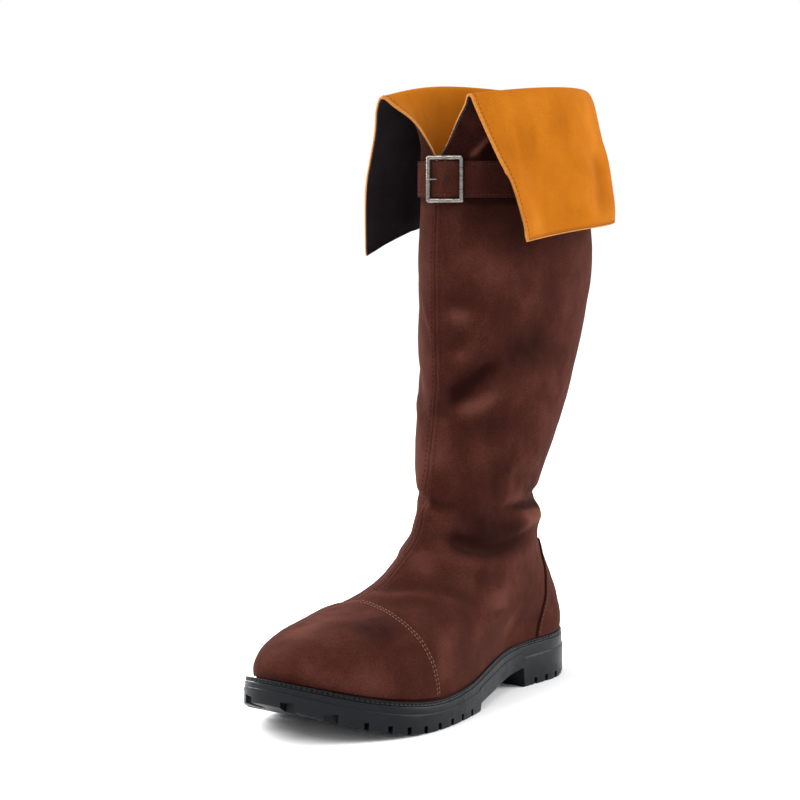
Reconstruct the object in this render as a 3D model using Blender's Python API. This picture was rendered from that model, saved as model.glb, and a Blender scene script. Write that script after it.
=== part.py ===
"""Medieval boot: tall pull-on boot of brown suede for the left foot, with a turned-down cuff.

Frame: metres, +Z up, toe towards -Y, outer side of the foot towards +X.
The origin is on the floor under the middle of the heel.
"""
import math

import bmesh
import bpy
import numpy as np

# Overall sizes
LENGTH = 0.300            # outsole, from the back of the heel to the toe
HEEL_BACK = 0.038         # back of the heel behind the origin
BALL_WIDTH = 0.1175       # outsole, over the ball of the foot
HEEL_WIDTH = 0.0715       # outsole, over the heel
TOE_TURN = 0.006          # the toe's tip lies this far towards the inner side
INSTEP_HEIGHT = 0.1076    # floor to the bend between instep and shin
BELT_SEAM = 0.3545        # floor to the seam under the strap, where the cuff starts
CALF_DEPTH = 0.164        # shaft at the calf, front to back
CALF_WIDTH = 0.095        # shaft at the calf, side to side
SHIN_FRONT = 0.1285       # front of the shaft, ahead of the back of the heel
CUFF_RISE = 0.055         # seam under the strap to the fold's front corners
CUFF_DROP = 0.095         # fold's front corners down to the hem
CUFF_SPREAD = 0.0365      # half the slit's width at the fold
INNER_LIFT = 0.0030       # the fold stands higher by this along the inner side

# Walls and clearances
WALL = 0.0022             # suede and lining of the foot and shaft
CUFF_WALL = 0.0024        # suede and lining of the cuff
OVERLAY = 0.0012          # toe cap and heel counter
GAP = 0.0003              # between pieces that touch
STRAP_SEAT = 0.00045      # strap to the shaft
OVERLAY_SEAT = 0.00045    # overlays to the foot

# Sole
HEEL_SEAT = 0.0297        # floor to the outsole's top at the heel
BALL_SEAT = 0.0170        # floor to the outsole's top at the ball
TOE_SEAT = 0.0378         # floor to the outsole's top at the toe
TOE_SPRING = 0.0240       # floor to the underside of the toe
ARCH_RISE = 0.0135        # floor to the underside of the waist, at the heel's front
HEEL_LENGTH = 0.072       # heel block, front to back
HEEL_BEVEL = 0.0040       # lift of the heel's underside at its back
HEEL_BEVEL_LENGTH = 0.026
TREAD_BACK = 0.148        # back edge of the front tread, ahead of the back of the heel
TREAD_STEP = 0.0050       # height of the front tread's back edge
SIDE_STEP = 0.0007        # the side wall's upper band stands back by this
SIDE_BAND = 0.72          # share of the side wall's height below that band
SOLE_EDGE = 0.0008        # bevel of the outsole's lower edge
WELT_HEIGHT = 0.0030
WELT_CLEAR = 0.0011       # welt to the upper's foot, whose wall leans out above its lower edge
WELT_INSET = 0.0004       # welt's outer edge, in from the outsole's side
WELT_ROUND = 0.0010       # rounding of the welt's outer top edge
INSOLE_THICK = 0.0030
INSOLE_CLEAR = 0.0006     # insole's edge to the upper's wall
LUG_HEIGHT = 0.0050       # depth of the notches between lugs
LUG_GAP = 0.0032          # width of the notches between lugs
LUG_REACH = 0.011         # how far a notch runs in from the sole's side
TOE_NOTCH_WIDTH = 0.0095  # the two wide notches at the toe
TREAD_GROOVE = 0.0022     # depth of the grooves across the tread
TREAD_GROOVE_WIDTH = 0.0045

# Strap and buckle
STRAP_WIDTH = 0.0246
STRAP_THICK = 0.0016
STRAP_PLAY = 0.0005       # strap's edge to the buckle's upper and lower bar
STRAP_RISE = 0.0010       # strap's middle above the seam that it covers
STRAP_HEIGHT = BELT_SEAM + STRAP_RISE
STRAP_TAIL = 0.008        # free end beyond the buckle
BUCKLE_WIDTH = 0.0266
BUCKLE_BAR = 0.0032       # width of the frame's bars
BUCKLE_THICK = 0.0030
BUCKLE_SHIFT = 0.0078     # buckle's middle, towards the outer side of the seam
BUCKLE_BEVEL = 0.0007
BUCKLE_CORNER = 0.0022
CENTRE_BAR = 0.0020
PRONG_THICK = 0.0012
PRONG_HOLE = 0.0062       # hole in the free end, from the centre bar's middle
PRONG_HOLE_LENGTH = 0.0058
PRONG_HOLE_WIDTH = 0.0026

# Mesh densities
COLUMNS = 36              # points round the upper
FOOT_RINGS = 2            # rings between two rows of the foot's table
LEG_RINGS = (8.5, 9, 9.5, 10, 10.5, 11, 11.5, 12, 12.5, 13, 14, 15, 15.5, 16, 17, 18)
SOLE_COLUMNS = 60
CUFF_COLUMNS = 30

# Half widths of the outsole
# columns: share of the length from the toe, width that the row follows, outer share, inner share
OUTLINE = (
    (0.00, BALL_WIDTH, 0.435, 0.410),
    (0.08, BALL_WIDTH, 0.468, 0.438),
    (0.20, BALL_WIDTH, 0.528, 0.456),
    (0.32, BALL_WIDTH, 0.544, 0.424),
    (0.45, BALL_WIDTH, 0.494, 0.346),
    (0.58, BALL_WIDTH, 0.400, 0.272),
    (0.70, HEEL_WIDTH, 0.505, 0.480),
    (0.85, HEEL_WIDTH, 0.500, 0.495),
    (1.00, HEEL_WIDTH, 0.500, 0.500),
)
TOE_ROUND = 0.28          # share of the length that the toe's curve takes
HEEL_ROUND = 0.14
TOE_FULL = 2.2            # exponent of the toe's curve, 2 is an ellipse
HEEL_FULL = 2.1

# Top of the outsole
# columns: share of the length from the toe, height
SEAT = (
    (0.00, TOE_SEAT),
    (0.15, 0.65 * BALL_SEAT + 0.35 * TOE_SEAT),
    (0.30, BALL_SEAT),
    (0.45, BALL_SEAT + 0.08 * (HEEL_SEAT - BALL_SEAT)),
    (0.60, 0.40 * BALL_SEAT + 0.60 * HEEL_SEAT),
    (0.75, HEEL_SEAT - 0.10 * (HEEL_SEAT - BALL_SEAT)),
    (0.90, HEEL_SEAT),
    (1.00, HEEL_SEAT),
)

# Sections of the foot, from the lower edge up to the instep. Each lies in a sloping plane.
# columns: front, ahead of the heel's back, as share of LENGTH; its height between seat and instep;
#   back, as share of LENGTH; its height between seat and instep; share of the sole's outline;
#   half width of the oval, as share of BALL_WIDTH; share of the oval in the mix; how far the
#   section follows the bend of the sole; exponent of the oval; place of its widest point
FOOT_SECTIONS = (
    (0.967, 0.000, 0.0175, 0.000, 0.920, 0.45, 0.00, 1.00, 2.0, 0.42),
    (0.968, 0.150, 0.0130, 0.120, 0.935, 0.45, 0.00, 0.86, 2.0, 0.42),
    (0.948, 0.290, 0.0110, 0.206, 0.918, 0.45, 0.15, 0.58, 2.0, 0.42),
    (0.905, 0.410, 0.0120, 0.296, 0.880, 0.430, 0.45, 0.34, 2.0, 0.43),
    (0.840, 0.505, 0.0140, 0.393, 0.840, 0.400, 0.75, 0.18, 2.0, 0.44),
    (0.760, 0.582, 0.0220, 0.502, 0.800, 0.365, 0.92, 0.08, 1.95, 0.46),
    (0.680, 0.650, 0.0370, 0.631, 0.800, 0.338, 1.00, 0.00, 1.90, 0.48),
    (0.597, 0.771, 0.0520, 0.773, 0.800, 0.312, 1.00, 0.00, 1.75, 0.51),
    (0.514, 1.000, 0.0610, 0.928, 0.800, 0.287, 1.00, 0.00, 1.70, 0.53),
)

# Sections of the shaft, level, from the ankle up to the seam under the strap
# columns: height between instep and seam; front, ahead of the shin line, as share of CALF_DEPTH;
#   back, behind the shin line, as share of CALF_DEPTH; half width as share of CALF_WIDTH; exponent
LEG_SECTIONS = (
    (0.044, 0.106, 0.690, 0.340, 1.75),
    (0.089, 0.079, 0.648, 0.318, 1.75),
    (0.135, 0.069, 0.656, 0.352, 1.80),
    (0.208, 0.053, 0.690, 0.410, 1.82),
    (0.322, 0.023, 0.770, 0.463, 1.85),
    (0.443, 0.000, 0.846, 0.490, 1.88),
    (0.605, 0.006, 0.942, 0.503, 1.90),
    (0.767, 0.010, 1.006, 0.508, 1.90),
    (0.925, 0.000, 0.985, 0.490, 1.90),
    (1.000, 0.000, 0.985, 0.490, 1.90),
)
BELT_ROW = LEG_SECTIONS[-1]

# Sections of the cuff, from the seam over the fold and down to the hem
# columns: height above the seam as share of CUFF_RISE, or above the hem's front as share of
#   CUFF_DROP; front, ahead of the shin line, and back, behind it, as shares of CALF_DEPTH; half
#   width as share of CALF_WIDTH; half the slit as share of CUFF_SPREAD; rise of the sides and
#   rise of the back, as shares of CUFF_RISE; drop of the inner side's front corner, the same
NECK_SECTIONS = (
    (0.010, 0.000, 0.985, 0.490, 0.010, 0.00, 0.00, 0.00),
    (0.250, 0.000, 0.985, 0.490, 0.060, 0.00, 0.00, 0.00),
    (0.455, -0.008, 0.974, 0.488, 0.265, 0.01, 0.01, 0.00),
    (0.720, 0.006, 0.950, 0.482, 0.550, 0.03, 0.05, 0.00),
    (0.900, 0.044, 0.932, 0.478, 0.850, 0.06, 0.09, 0.00),
    (1.000, 0.072, 0.944, 0.494, 1.010, 0.07, 0.10, 0.00),
)
FLAP_SECTIONS = (
    (0.935, 0.072, 0.974, 0.525, 1.110, 0.07, 0.10, 0.00),
    (0.760, 0.046, 0.990, 0.570, 1.270, 0.06, 0.10, 0.01),
    (0.400, 0.002, 1.016, 0.645, 1.640, 0.06, 0.15, 0.09),
    (0.000, -0.052, 1.030, 0.695, 1.850, 0.04, 0.21, 0.22),
)

# Overlays
CAP_LINE = 0.720          # back edge of the toe cap at the middle, ahead of the heel, share of LENGTH
CAP_SWEEP = 0.050         # the edge runs back by this share of LENGTH at the sides
CAP_TOP_ROW = 5.7         # section where the cap's edge meets the middle
COUNTER_FOOT = 0.185      # front edge of the heel counter at the sole, share of LENGTH
COUNTER_TOP = 0.085       # the same at its top
COUNTER_TOP_ROW = 7.7
OVERLAY_FOOT_ROW = 0.45   # section where the overlays start, just above the welt

# Places of the notches along the outsole's side
# columns: share of the length from the toe, width
NOTCHES = (
    (0.012, TOE_NOTCH_WIDTH), (0.067, TOE_NOTCH_WIDTH), (0.128, LUG_GAP), (0.175, LUG_GAP),
    (0.220, LUG_GAP), (0.266, LUG_GAP), (0.313, LUG_GAP), (0.361, LUG_GAP), (0.408, LUG_GAP),
    (0.455, LUG_GAP), (0.805, LUG_GAP), (0.847, LUG_GAP), (0.889, LUG_GAP),
)
GROOVES = (0.15, 0.22, 0.42, 0.47, 0.80)         # grooves across the tread, share from the toe

COLORS = {
    "suede_brown": (0.085, 0.032, 0.026, 1.0, 0.85, 0.0),
    "suede_orange": (0.560, 0.215, 0.030, 1.0, 0.85, 0.0),
    "rubber_black": (0.018, 0.019, 0.022, 1.0, 0.55, 0.0),
    "metal_silver": (0.560, 0.550, 0.530, 1.0, 0.35, 1.0),
    "insole_dark": (0.120, 0.070, 0.040, 1.0, 0.80, 0.0),
}


def clear_scene():
    for item in list(bpy.data.objects):
        bpy.data.objects.remove(item, do_unlink=True)


def make_material(name):
    red, green, blue, alpha, roughness, metallic = COLORS[name]
    material = bpy.data.materials.get(name) or bpy.data.materials.new(name)
    material.use_nodes = True
    shader = material.node_tree.nodes["Principled BSDF"]
    shader.inputs["Base Color"].default_value = (red, green, blue, alpha)
    shader.inputs["Roughness"].default_value = roughness
    shader.inputs["Metallic"].default_value = metallic
    return material


def add_object(name, points, faces, material):
    """One closed mesh as an object, with its faces turned outwards."""
    mesh = bpy.data.meshes.new(name)
    mesh.from_pydata([tuple(float(c) for c in p) for p in points], [], faces)
    body = bmesh.new()
    body.from_mesh(mesh)
    bmesh.ops.recalc_face_normals(body, faces=body.faces)
    body.to_mesh(mesh)
    body.free()
    mesh.shade_smooth()
    mesh.set_sharp_from_angle(angle=math.radians(40))
    item = bpy.data.objects.new(name, mesh)
    bpy.context.scene.collection.objects.link(item)
    item.data.materials.append(make_material(material))
    return item


def smooth_rows(table, v):
    """Row of a table at v, a smooth curve through the rows (Catmull-Rom)."""
    table = np.asarray(table, float)
    v = np.clip(np.asarray(v, float), 0, len(table) - 1)
    low = np.minimum(v.astype(int), len(table) - 2)
    t = (v - low)[..., None]
    before = table[np.maximum(low - 1, 0)]
    first, second = table[low], table[low + 1]
    after = table[np.minimum(low + 2, len(table) - 1)]
    rise_first = (second - before) / 2
    rise_second = (after - first) / 2
    return (
        (2 * t**3 - 3 * t**2 + 1) * first + (t**3 - 2 * t**2 + t) * rise_first
        + (3 * t**2 - 2 * t**3) * second + (t**3 - t**2) * rise_second
    )


def smooth_curve(rows, share):
    """Value at a share of the length, smooth through rows of (share, value)."""
    rows = np.asarray(rows, float)
    slopes = np.gradient(rows[:, 1], rows[:, 0])
    share = np.clip(share, 0, 1)
    low = np.clip(np.searchsorted(rows[:, 0], share, side="right") - 1, 0, len(rows) - 2)
    width = rows[low + 1, 0] - rows[low, 0]
    t = (share - rows[low, 0]) / width
    return (
        (2 * t**3 - 3 * t**2 + 1) * rows[low, 1] + (t**3 - 2 * t**2 + t) * width * slopes[low]
        + (3 * t**2 - 2 * t**3) * rows[low + 1, 1] + (t**3 - t**2) * width * slopes[low + 1]
    )


def round_end(share, reach, exponent):
    """1 along the middle, running round to 0 at an end of the outline."""
    inside = np.clip(1 - share / reach, 0, 1)
    return np.clip(1 - inside**exponent, 0, 1) ** (1 / exponent)


def outline_half(share, side):
    """Half width of the outsole at a share of its length from the toe."""
    outer = [(row[0], row[1] * row[2]) for row in OUTLINE]
    inner = [(row[0], row[1] * row[3]) for row in OUTLINE]
    half = np.where(side > 0, smooth_curve(outer, share), smooth_curve(inner, share))
    ends = round_end(share, TOE_ROUND, TOE_FULL) * round_end(1 - share, HEEL_ROUND, HEEL_FULL)
    return half * ends


def middle_line(y):
    """Sideways place of the foot's middle line, which turns inwards at the toe."""
    ahead = np.clip((HEEL_BACK - y) / LENGTH, 0, 1.1)
    return -TOE_TURN * np.clip((ahead - 0.6) / 0.4, 0, 1.2) ** 2


def y_at(share_from_heel):
    return HEEL_BACK - share_from_heel * LENGTH


def share_from_toe(y):
    return 1 - (HEEL_BACK - y) / LENGTH


def seat_height(y):
    return smooth_curve(SEAT, share_from_toe(y))


def oval_half(share, exponent, widest):
    """Half width of an oval of width 1, from its front at 0 to its back at 1."""
    front = np.clip(1 - share / widest, 0, 1)
    back = np.clip((share - widest) / (1 - widest), 0, 1)
    return np.clip(1 - np.maximum(front, back) ** exponent, 0, 1) ** (1 / exponent)


def upper_rows():
    """The section tables in metres: front y, front z, back y, back z, outline share, oval half
    width, mix, follow, exponent, widest."""
    rows = []
    for front, front_rise, back, back_rise, outline, half, mix, follow, power, widest in FOOT_SECTIONS:
        y_front, y_back = y_at(front), y_at(back)
        seat_front = float(seat_height(y_front)) + GAP
        seat_back = float(seat_height(y_back)) + GAP
        rows.append((
            y_front, seat_front + front_rise * (INSTEP_HEIGHT - seat_front),
            y_back, seat_back + back_rise * (INSTEP_HEIGHT - seat_back),
            outline, half * BALL_WIDTH, mix, follow, power, widest,
        ))
    shin = HEEL_BACK - SHIN_FRONT
    for rise, front, back, half, power in LEG_SECTIONS:
        z = INSTEP_HEIGHT + rise * (BELT_SEAM - INSTEP_HEIGHT)
        rows.append((
            shin - front * CALF_DEPTH, z, shin + back * CALF_DEPTH, z,
            0.8, half * CALF_WIDTH, 1.0, 0.0, power, 0.5,
        ))
    return np.array(rows)


UPPER_ROWS = upper_rows()
TOP_ROW = len(UPPER_ROWS) - 1


def side_and_share(u):
    """u runs from 0 at the front round the outer side, the back and the inner side to 1."""
    u = np.asarray(u, float) % 1.0
    side = np.where(u < 0.5, 1.0, -1.0)
    turn = np.where(u < 0.5, 2 * u, 2 - 2 * u)
    return side, (1 - np.cos(math.pi * turn)) / 2


def upper_point(u, v):
    """Outer face of the upper: u round the section, v up through the rows."""
    u, v = np.broadcast_arrays(np.asarray(u, float), np.asarray(v, float))
    row = np.moveaxis(smooth_rows(UPPER_ROWS, v), -1, 0)
    y_front, z_front, y_back, z_back, outline, half, mix, follow, power, widest = row
    side, share = side_and_share(u)
    y = y_front + share * (y_back - y_front)
    bend = seat_height(y) - seat_height(y_front) * (1 - share) - seat_height(y_back) * share
    z = z_front + share * (z_back - z_front) + follow * bend
    width = (1 - mix) * outline * outline_half(share, side) + mix * half * oval_half(share, power, widest)
    return np.stack([side * width + middle_line(y), y, z], -1)


def upper_normal(u, v):
    """Outward direction of the upper's face."""
    step_u, step_v = 0.004, 0.05
    v = np.asarray(v, float)
    along_u = upper_point(u + step_u, v) - upper_point(u - step_u, v)
    high = np.minimum(v + step_v, TOP_ROW)
    low = np.maximum(v - step_v, 0)
    along_v = upper_point(u, high) - upper_point(u, low)
    normal = np.cross(along_u, along_v)
    return normal / np.linalg.norm(normal, axis=-1, keepdims=True)


def shell_faces(rows, columns, closed):
    """Faces of a sheet with two sides: the outer grid of points first, then the inner grid."""
    faces = []
    count = rows * columns
    spans = columns if closed else columns - 1
    for i in range(rows - 1):
        for j in range(spans):
            k = (j + 1) % columns
            a, b, c, d = i * columns + j, i * columns + k, (i + 1) * columns + k, (i + 1) * columns + j
            faces.append((a, b, c, d))
            faces.append((count + d, count + c, count + b, count + a))
    for j in range(spans):
        k = (j + 1) % columns
        top = (rows - 1) * columns
        faces.append((j, count + j, count + k, k))
        faces.append((top + k, count + top + k, count + top + j, top + j))
    if not closed:
        for i in range(rows - 1):
            a, d = i * columns, (i + 1) * columns
            faces.append((a, d, count + d, count + a))
            b, c = a + columns - 1, d + columns - 1
            faces.append((b, count + b, count + c, c))
    return faces


def add_sheet(name, outer, inner, closed, material):
    rows, columns = outer.shape[:2]
    points = np.concatenate([outer.reshape(-1, 3), inner.reshape(-1, 3)])
    return add_object(name, points, shell_faces(rows, columns, closed), material)


def build_upper():
    last = len(FOOT_SECTIONS) - 1
    v = np.concatenate([np.linspace(0, last, last * FOOT_RINGS + 1), LEG_RINGS])[:, None]
    u = (np.arange(COLUMNS) / COLUMNS)[None, :]
    outer = upper_point(u, v)
    inner = outer - WALL * upper_normal(u, v)
    inner[0, :, 2] = outer[0, :, 2]
    outer[-1, :, 2] = BELT_SEAM - GAP
    inner[-1, :, 2] = BELT_SEAM - GAP
    add_sheet("upper", outer, inner, True, "suede_brown")


def edge_turn(share):
    """Turn round the section at which a share of its depth lies."""
    return np.arccos(np.clip(1 - 2 * share, -1, 1)) / (2 * math.pi)


def overlay_sheet(name, u, v):
    point, normal = upper_point(u, v), upper_normal(u, v)
    outer = point + (OVERLAY_SEAT + OVERLAY) * normal
    add_sheet(name, outer, point + OVERLAY_SEAT * normal, False, "suede_brown")


def build_toe_cap():
    across, up = 21, 11
    v = OVERLAY_FOOT_ROW + (CAP_TOP_ROW - OVERLAY_FOOT_ROW) * np.linspace(0, 1, up)
    rows = smooth_rows(UPPER_ROWS, v)
    rise = np.linspace(0, 1, up)
    line = y_at(CAP_LINE) + CAP_SWEEP * LENGTH * (1 - rise) ** 1.5
    share = np.maximum((line - rows[:, 0]) / (rows[:, 2] - rows[:, 0]), 0.004)
    u = edge_turn(share)[:, None] * np.linspace(-1, 1, across)[None, :]
    overlay_sheet("toe_cap", u, v[:, None])


def build_heel_counter():
    across, up = 15, 15
    v = np.linspace(OVERLAY_FOOT_ROW, COUNTER_TOP_ROW, up)
    rows = smooth_rows(UPPER_ROWS, v)
    rise = np.linspace(0, 1, up)
    line = y_at(COUNTER_FOOT + (COUNTER_TOP - COUNTER_FOOT) * rise**1.3)
    share = (line - rows[:, 0]) / (rows[:, 2] - rows[:, 0])
    reach = 0.5 - edge_turn(share)
    u = 0.5 + reach[:, None] * np.linspace(-1, 1, across)[None, :]
    overlay_sheet("heel_counter", u, v[:, None])


def cuff_rows():
    """The cuff's tables in metres: front y, front z, back y, half width, half slit, rise of the
    sides, rise of the back, drop of the inner front corner."""
    shin = HEEL_BACK - SHIN_FRONT
    fold = BELT_SEAM + CUFF_RISE
    rows = []
    for table, base, span in (
        (NECK_SECTIONS, BELT_SEAM, CUFF_RISE),
        (FLAP_SECTIONS, fold - CUFF_DROP, CUFF_DROP),
    ):
        for height, front, back, half, slit, side_rise, back_rise, drop in table:
            rows.append((
                shin - front * CALF_DEPTH, base + height * span, shin + back * CALF_DEPTH,
                half * CALF_WIDTH, slit * CUFF_SPREAD,
                side_rise * CUFF_RISE, back_rise * CUFF_RISE, drop * CUFF_RISE,
            ))
    return np.array(rows)


CUFF_ROWS = cuff_rows()
CUFF_TOP_ROW = len(CUFF_ROWS) - 1


def cuff_point(u, v):
    """Outer face of the neck, which becomes the hidden face of the turned-down flap.
    u runs from 0 at the slit's outer edge round the back to 1 at its inner edge."""
    u, v = np.broadcast_arrays(np.asarray(u, float), np.asarray(v, float))
    row = np.moveaxis(smooth_rows(CUFF_ROWS, v), -1, 0)
    y_front, z_front, y_back, half, slit, side_rise, back_rise, drop = row
    side = np.where(u <= 0.5, 1.0, -1.0)
    turn = np.where(u <= 0.5, 2 * u, 2 - 2 * u)
    share = (1 - np.cos(math.pi * np.clip(turn, 0, 1))) / 2
    y = y_front + share * (y_back - y_front)
    oval = oval_half(share, BELT_ROW[4], 0.5)
    front_part = np.clip(1 - 2 * share, 0, 1)
    width = np.sqrt((half * oval) ** 2 + (slit * front_part) ** 2)
    side_rise = side_rise + np.where(side < 0, INNER_LIFT * side_rise / np.max(CUFF_ROWS[:, 5]), 0)
    z = z_front + side_rise * np.sin(math.pi * share) + back_rise * share
    z = z - np.where(side < 0, drop * front_part**2, 0)
    return np.stack([side * width, y, z], -1)


def cuff_normal(u, v):
    step = 0.004
    low_u, high_u = np.clip(u - step, 0, 1), np.clip(u + step, 0, 1)
    low_v = np.clip(v - step * 10, 0, CUFF_TOP_ROW)
    high_v = np.clip(v + step * 10, 0, CUFF_TOP_ROW)
    along_u = cuff_point(high_u, v) - cuff_point(low_u, v)
    along_v = cuff_point(u, high_v) - cuff_point(u, low_v)
    normal = np.cross(along_u, along_v)
    return normal / np.linalg.norm(normal, axis=-1, keepdims=True)


def build_cuff():
    v = np.array([0, 1, 1.6, 2.3, 3, 3.6, 4.1, 4.5, 4.8, 5.1, 5.4, 5.8, 6.4, 7, 7.6, 8.3, 9.0])
    u = np.linspace(0, 1, CUFF_COLUMNS + 1)[None, :]
    v = v[:, None]
    outer = cuff_point(u, v)
    inner = outer - CUFF_WALL * cuff_normal(u, v)
    outer[0, :, 2] = BELT_SEAM + GAP
    inner[0, :, 2] = BELT_SEAM + GAP
    add_sheet("cuff", outer, inner, False, "suede_orange")


def sole_shares():
    """Places along the sole: close together at the ends, with pairs at the steps."""
    turn = np.linspace(0, 1, SOLE_COLUMNS // 2 + 1)
    shares = list((1 - np.cos(math.pi * turn)) / 2)
    step = 0.004
    for place in (1 - TREAD_BACK / LENGTH, 1 - HEEL_LENGTH / LENGTH):
        shares = [s for s in shares if abs(s - place) > 2.2 * step]
        shares += [place - step, place + step]
    return np.array(sorted(shares))


def floor_height(share):
    """Underside of the outsole: toe spring, front tread, raised waist, heel."""
    tread_end = 1 - TREAD_BACK / LENGTH
    heel_start = 1 - HEEL_LENGTH / LENGTH
    spring = TOE_SPRING * np.clip(1 - share / 0.31, 0, 1) ** 2
    along = np.clip((share - tread_end) / (heel_start - tread_end), 0, 1)
    waist = TREAD_STEP + (ARCH_RISE - TREAD_STEP) * along
    bevel = HEEL_BEVEL * np.clip(1 - (1 - share) * LENGTH / HEEL_BEVEL_LENGTH, 0, 1)
    return np.where((share > tread_end) & (share < heel_start), waist, spring + bevel)


def sole_ring(shares, inset):
    """Points round the outsole's outline, drawn in by an inset along its normal."""
    shares = np.asarray(shares)
    loop = np.concatenate([shares, shares[-2:0:-1]])
    side = np.concatenate([np.ones(len(shares)), -np.ones(len(shares) - 2)])
    y = HEEL_BACK - LENGTH * (1 - loop)
    x = side * outline_half(loop, side) + middle_line(y)
    flat = np.stack([x, y], 1)
    tangent = np.roll(flat, -1, 0) - np.roll(flat, 1, 0)
    normal = np.stack([tangent[:, 1], -tangent[:, 0]], 1)
    normal /= np.linalg.norm(normal, axis=1, keepdims=True)
    return flat - inset * normal, loop


def lathe_like(rings):
    """Faces between closed rings of equal size, in order."""
    count = len(rings[0])
    faces = []
    for i in range(len(rings) - 1):
        for j in range(count):
            k = (j + 1) % count
            faces.append((i * count + j, i * count + k, (i + 1) * count + k, (i + 1) * count + j))
    return faces


def cap_faces(start, count):
    """Faces across a ring from its outer side to its inner side; the tips are single points."""
    faces = [(start, start + 1, start + count - 1)]
    for i in range(1, count // 2 - 1):
        faces.append((start + i, start + i + 1, start + count - i - 1, start + count - i))
    half = count // 2
    faces.append((start + half - 1, start + half, start + half + 1))
    return faces


def add_cutter(name, boxes):
    """One wire object holding many boxes, each given by its eight corners."""
    body = bmesh.new()
    for corners in boxes:
        verts = [body.verts.new(tuple(float(c) for c in p)) for p in corners]
        for face in ((0, 1, 2, 3), (7, 6, 5, 4), (0, 4, 5, 1), (1, 5, 6, 2), (2, 6, 7, 3), (3, 7, 4, 0)):
            body.faces.new([verts[k] for k in face])
    bmesh.ops.recalc_face_normals(body, faces=body.faces)
    mesh = bpy.data.meshes.new(name)
    body.to_mesh(mesh)
    body.free()
    item = bpy.data.objects.new(name, mesh)
    bpy.context.scene.collection.objects.link(item)
    item.hide_render = True
    item.display_type = "WIRE"
    return item


def box_corners(centre, along, inward, length, width, low, high):
    """Corners of an upright box; along and inward are unit vectors in the floor's plane."""
    corners = []
    for z in (low, high):
        for a, b in ((-1, 0), (1, 0), (1, 1), (-1, 1)):
            spot = centre + along * a * width / 2 + inward * b * length
            corners.append((spot[0], spot[1], z))
    return corners


def notch_boxes():
    """The gaps between lugs: open at the sole's side and below."""
    boxes = []
    outside = below = LUG_HEIGHT
    for side in (1.0, -1.0):
        for share, width in NOTCHES:
            near = np.array([share - 0.004, share + 0.004])
            y = HEEL_BACK - LENGTH * (1 - near)
            x = side * outline_half(near, np.full(2, side)) + middle_line(y)
            along = np.array([x[1] - x[0], y[1] - y[0]])
            along /= np.linalg.norm(along)
            inward = side * np.array([-along[1], along[0]])
            centre = np.array([x.mean(), y.mean()]) - inward * outside
            base = float(floor_height(np.array(share)))
            boxes.append(box_corners(
                centre, along, inward, outside + LUG_REACH, width, base - below, base + LUG_HEIGHT,
            ))
    return boxes


def groove_boxes():
    """Shallow grooves across the middle of the tread."""
    boxes = []
    for share in GROOVES:
        y = HEEL_BACK - LENGTH * (1 - share)
        half = 0.55 * float(outline_half(np.array(share), np.array(1.0)))
        base = float(floor_height(np.array(share)))
        centre = np.array([-half + float(middle_line(y)), y])
        along, inward = np.array([0.0, 1.0]), np.array([1.0, 0.0])
        boxes.append(box_corners(
            centre, along, inward, 2 * half, TREAD_GROOVE_WIDTH, base - TREAD_GROOVE, base + TREAD_GROOVE,
        ))
    return boxes


def build_outsole():
    shares = sole_shares()
    levels = (
        (0.00, SOLE_EDGE), (0.04, 0.0), (SIDE_BAND, 0.0), (SIDE_BAND + 0.03, SIDE_STEP), (1.00, SIDE_STEP),
    )
    rings = []
    for level, inset in levels:
        flat, loop = sole_ring(shares, inset)
        low = floor_height(loop)
        high = seat_height(flat[:, 1])
        rings.append(np.column_stack([flat, low + level * (high - low)]))
    count = len(rings[0])
    faces = lathe_like(rings) + cap_faces(0, count) + cap_faces((len(rings) - 1) * count, count)
    sole = add_object("outsole", np.concatenate(rings), faces, "rubber_black")
    for name, boxes in (("lug_cutter", notch_boxes()), ("groove_cutter", groove_boxes())):
        cut = sole.modifiers.new(name, "BOOLEAN")
        cut.operation = "DIFFERENCE"
        cut.solver = "EXACT"
        cut.object = add_cutter(name, boxes)


def upper_foot_ring(count, offset):
    """Lower edge of the upper's outer face, moved along the floor by an offset."""
    u = np.arange(count) / count
    point = upper_point(u, np.zeros(count))
    tangent = np.roll(point, -1, 0) - np.roll(point, 1, 0)
    normal = np.stack([tangent[:, 1], -tangent[:, 0], np.zeros(count)], 1)
    normal /= np.linalg.norm(normal, axis=1, keepdims=True)
    moved = point + offset * normal
    moved[:, 2] = seat_height(moved[:, 1])
    return moved


def build_welt():
    """Strip that lies on the outsole round the upper's foot."""
    count = SOLE_COLUMNS
    inner = upper_foot_ring(count, WELT_CLEAR)
    turn = np.arange(count) / count
    side, share = side_and_share(turn)
    flat_y = HEEL_BACK - LENGTH * (1 - share)
    flat_x = side * outline_half(share, side) + middle_line(flat_y)
    flat = np.stack([flat_x, flat_y], 1)
    tangent = np.roll(flat, -1, 0) - np.roll(flat, 1, 0)
    normal = np.stack([tangent[:, 1], -tangent[:, 0]], 1)
    normal /= np.linalg.norm(normal, axis=1, keepdims=True)

    def outer(inset, rise):
        spot = flat - (SIDE_STEP + WELT_INSET + inset) * normal
        return np.column_stack([spot, seat_height(spot[:, 1]) + rise])

    low, high = GAP, WELT_HEIGHT
    inner_low = inner + np.array([0, 0, low])
    inner_high = inner + np.array([0, 0, high])
    rings = [inner_low, outer(0, low), outer(0, high - WELT_ROUND), outer(WELT_ROUND, high), inner_high]
    faces = lathe_like(rings + [inner_low])
    wrap = len(rings) * count
    faces = [tuple(index % wrap for index in face) for face in faces]
    add_object("welt", np.concatenate(rings), faces, "rubber_black")


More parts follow.
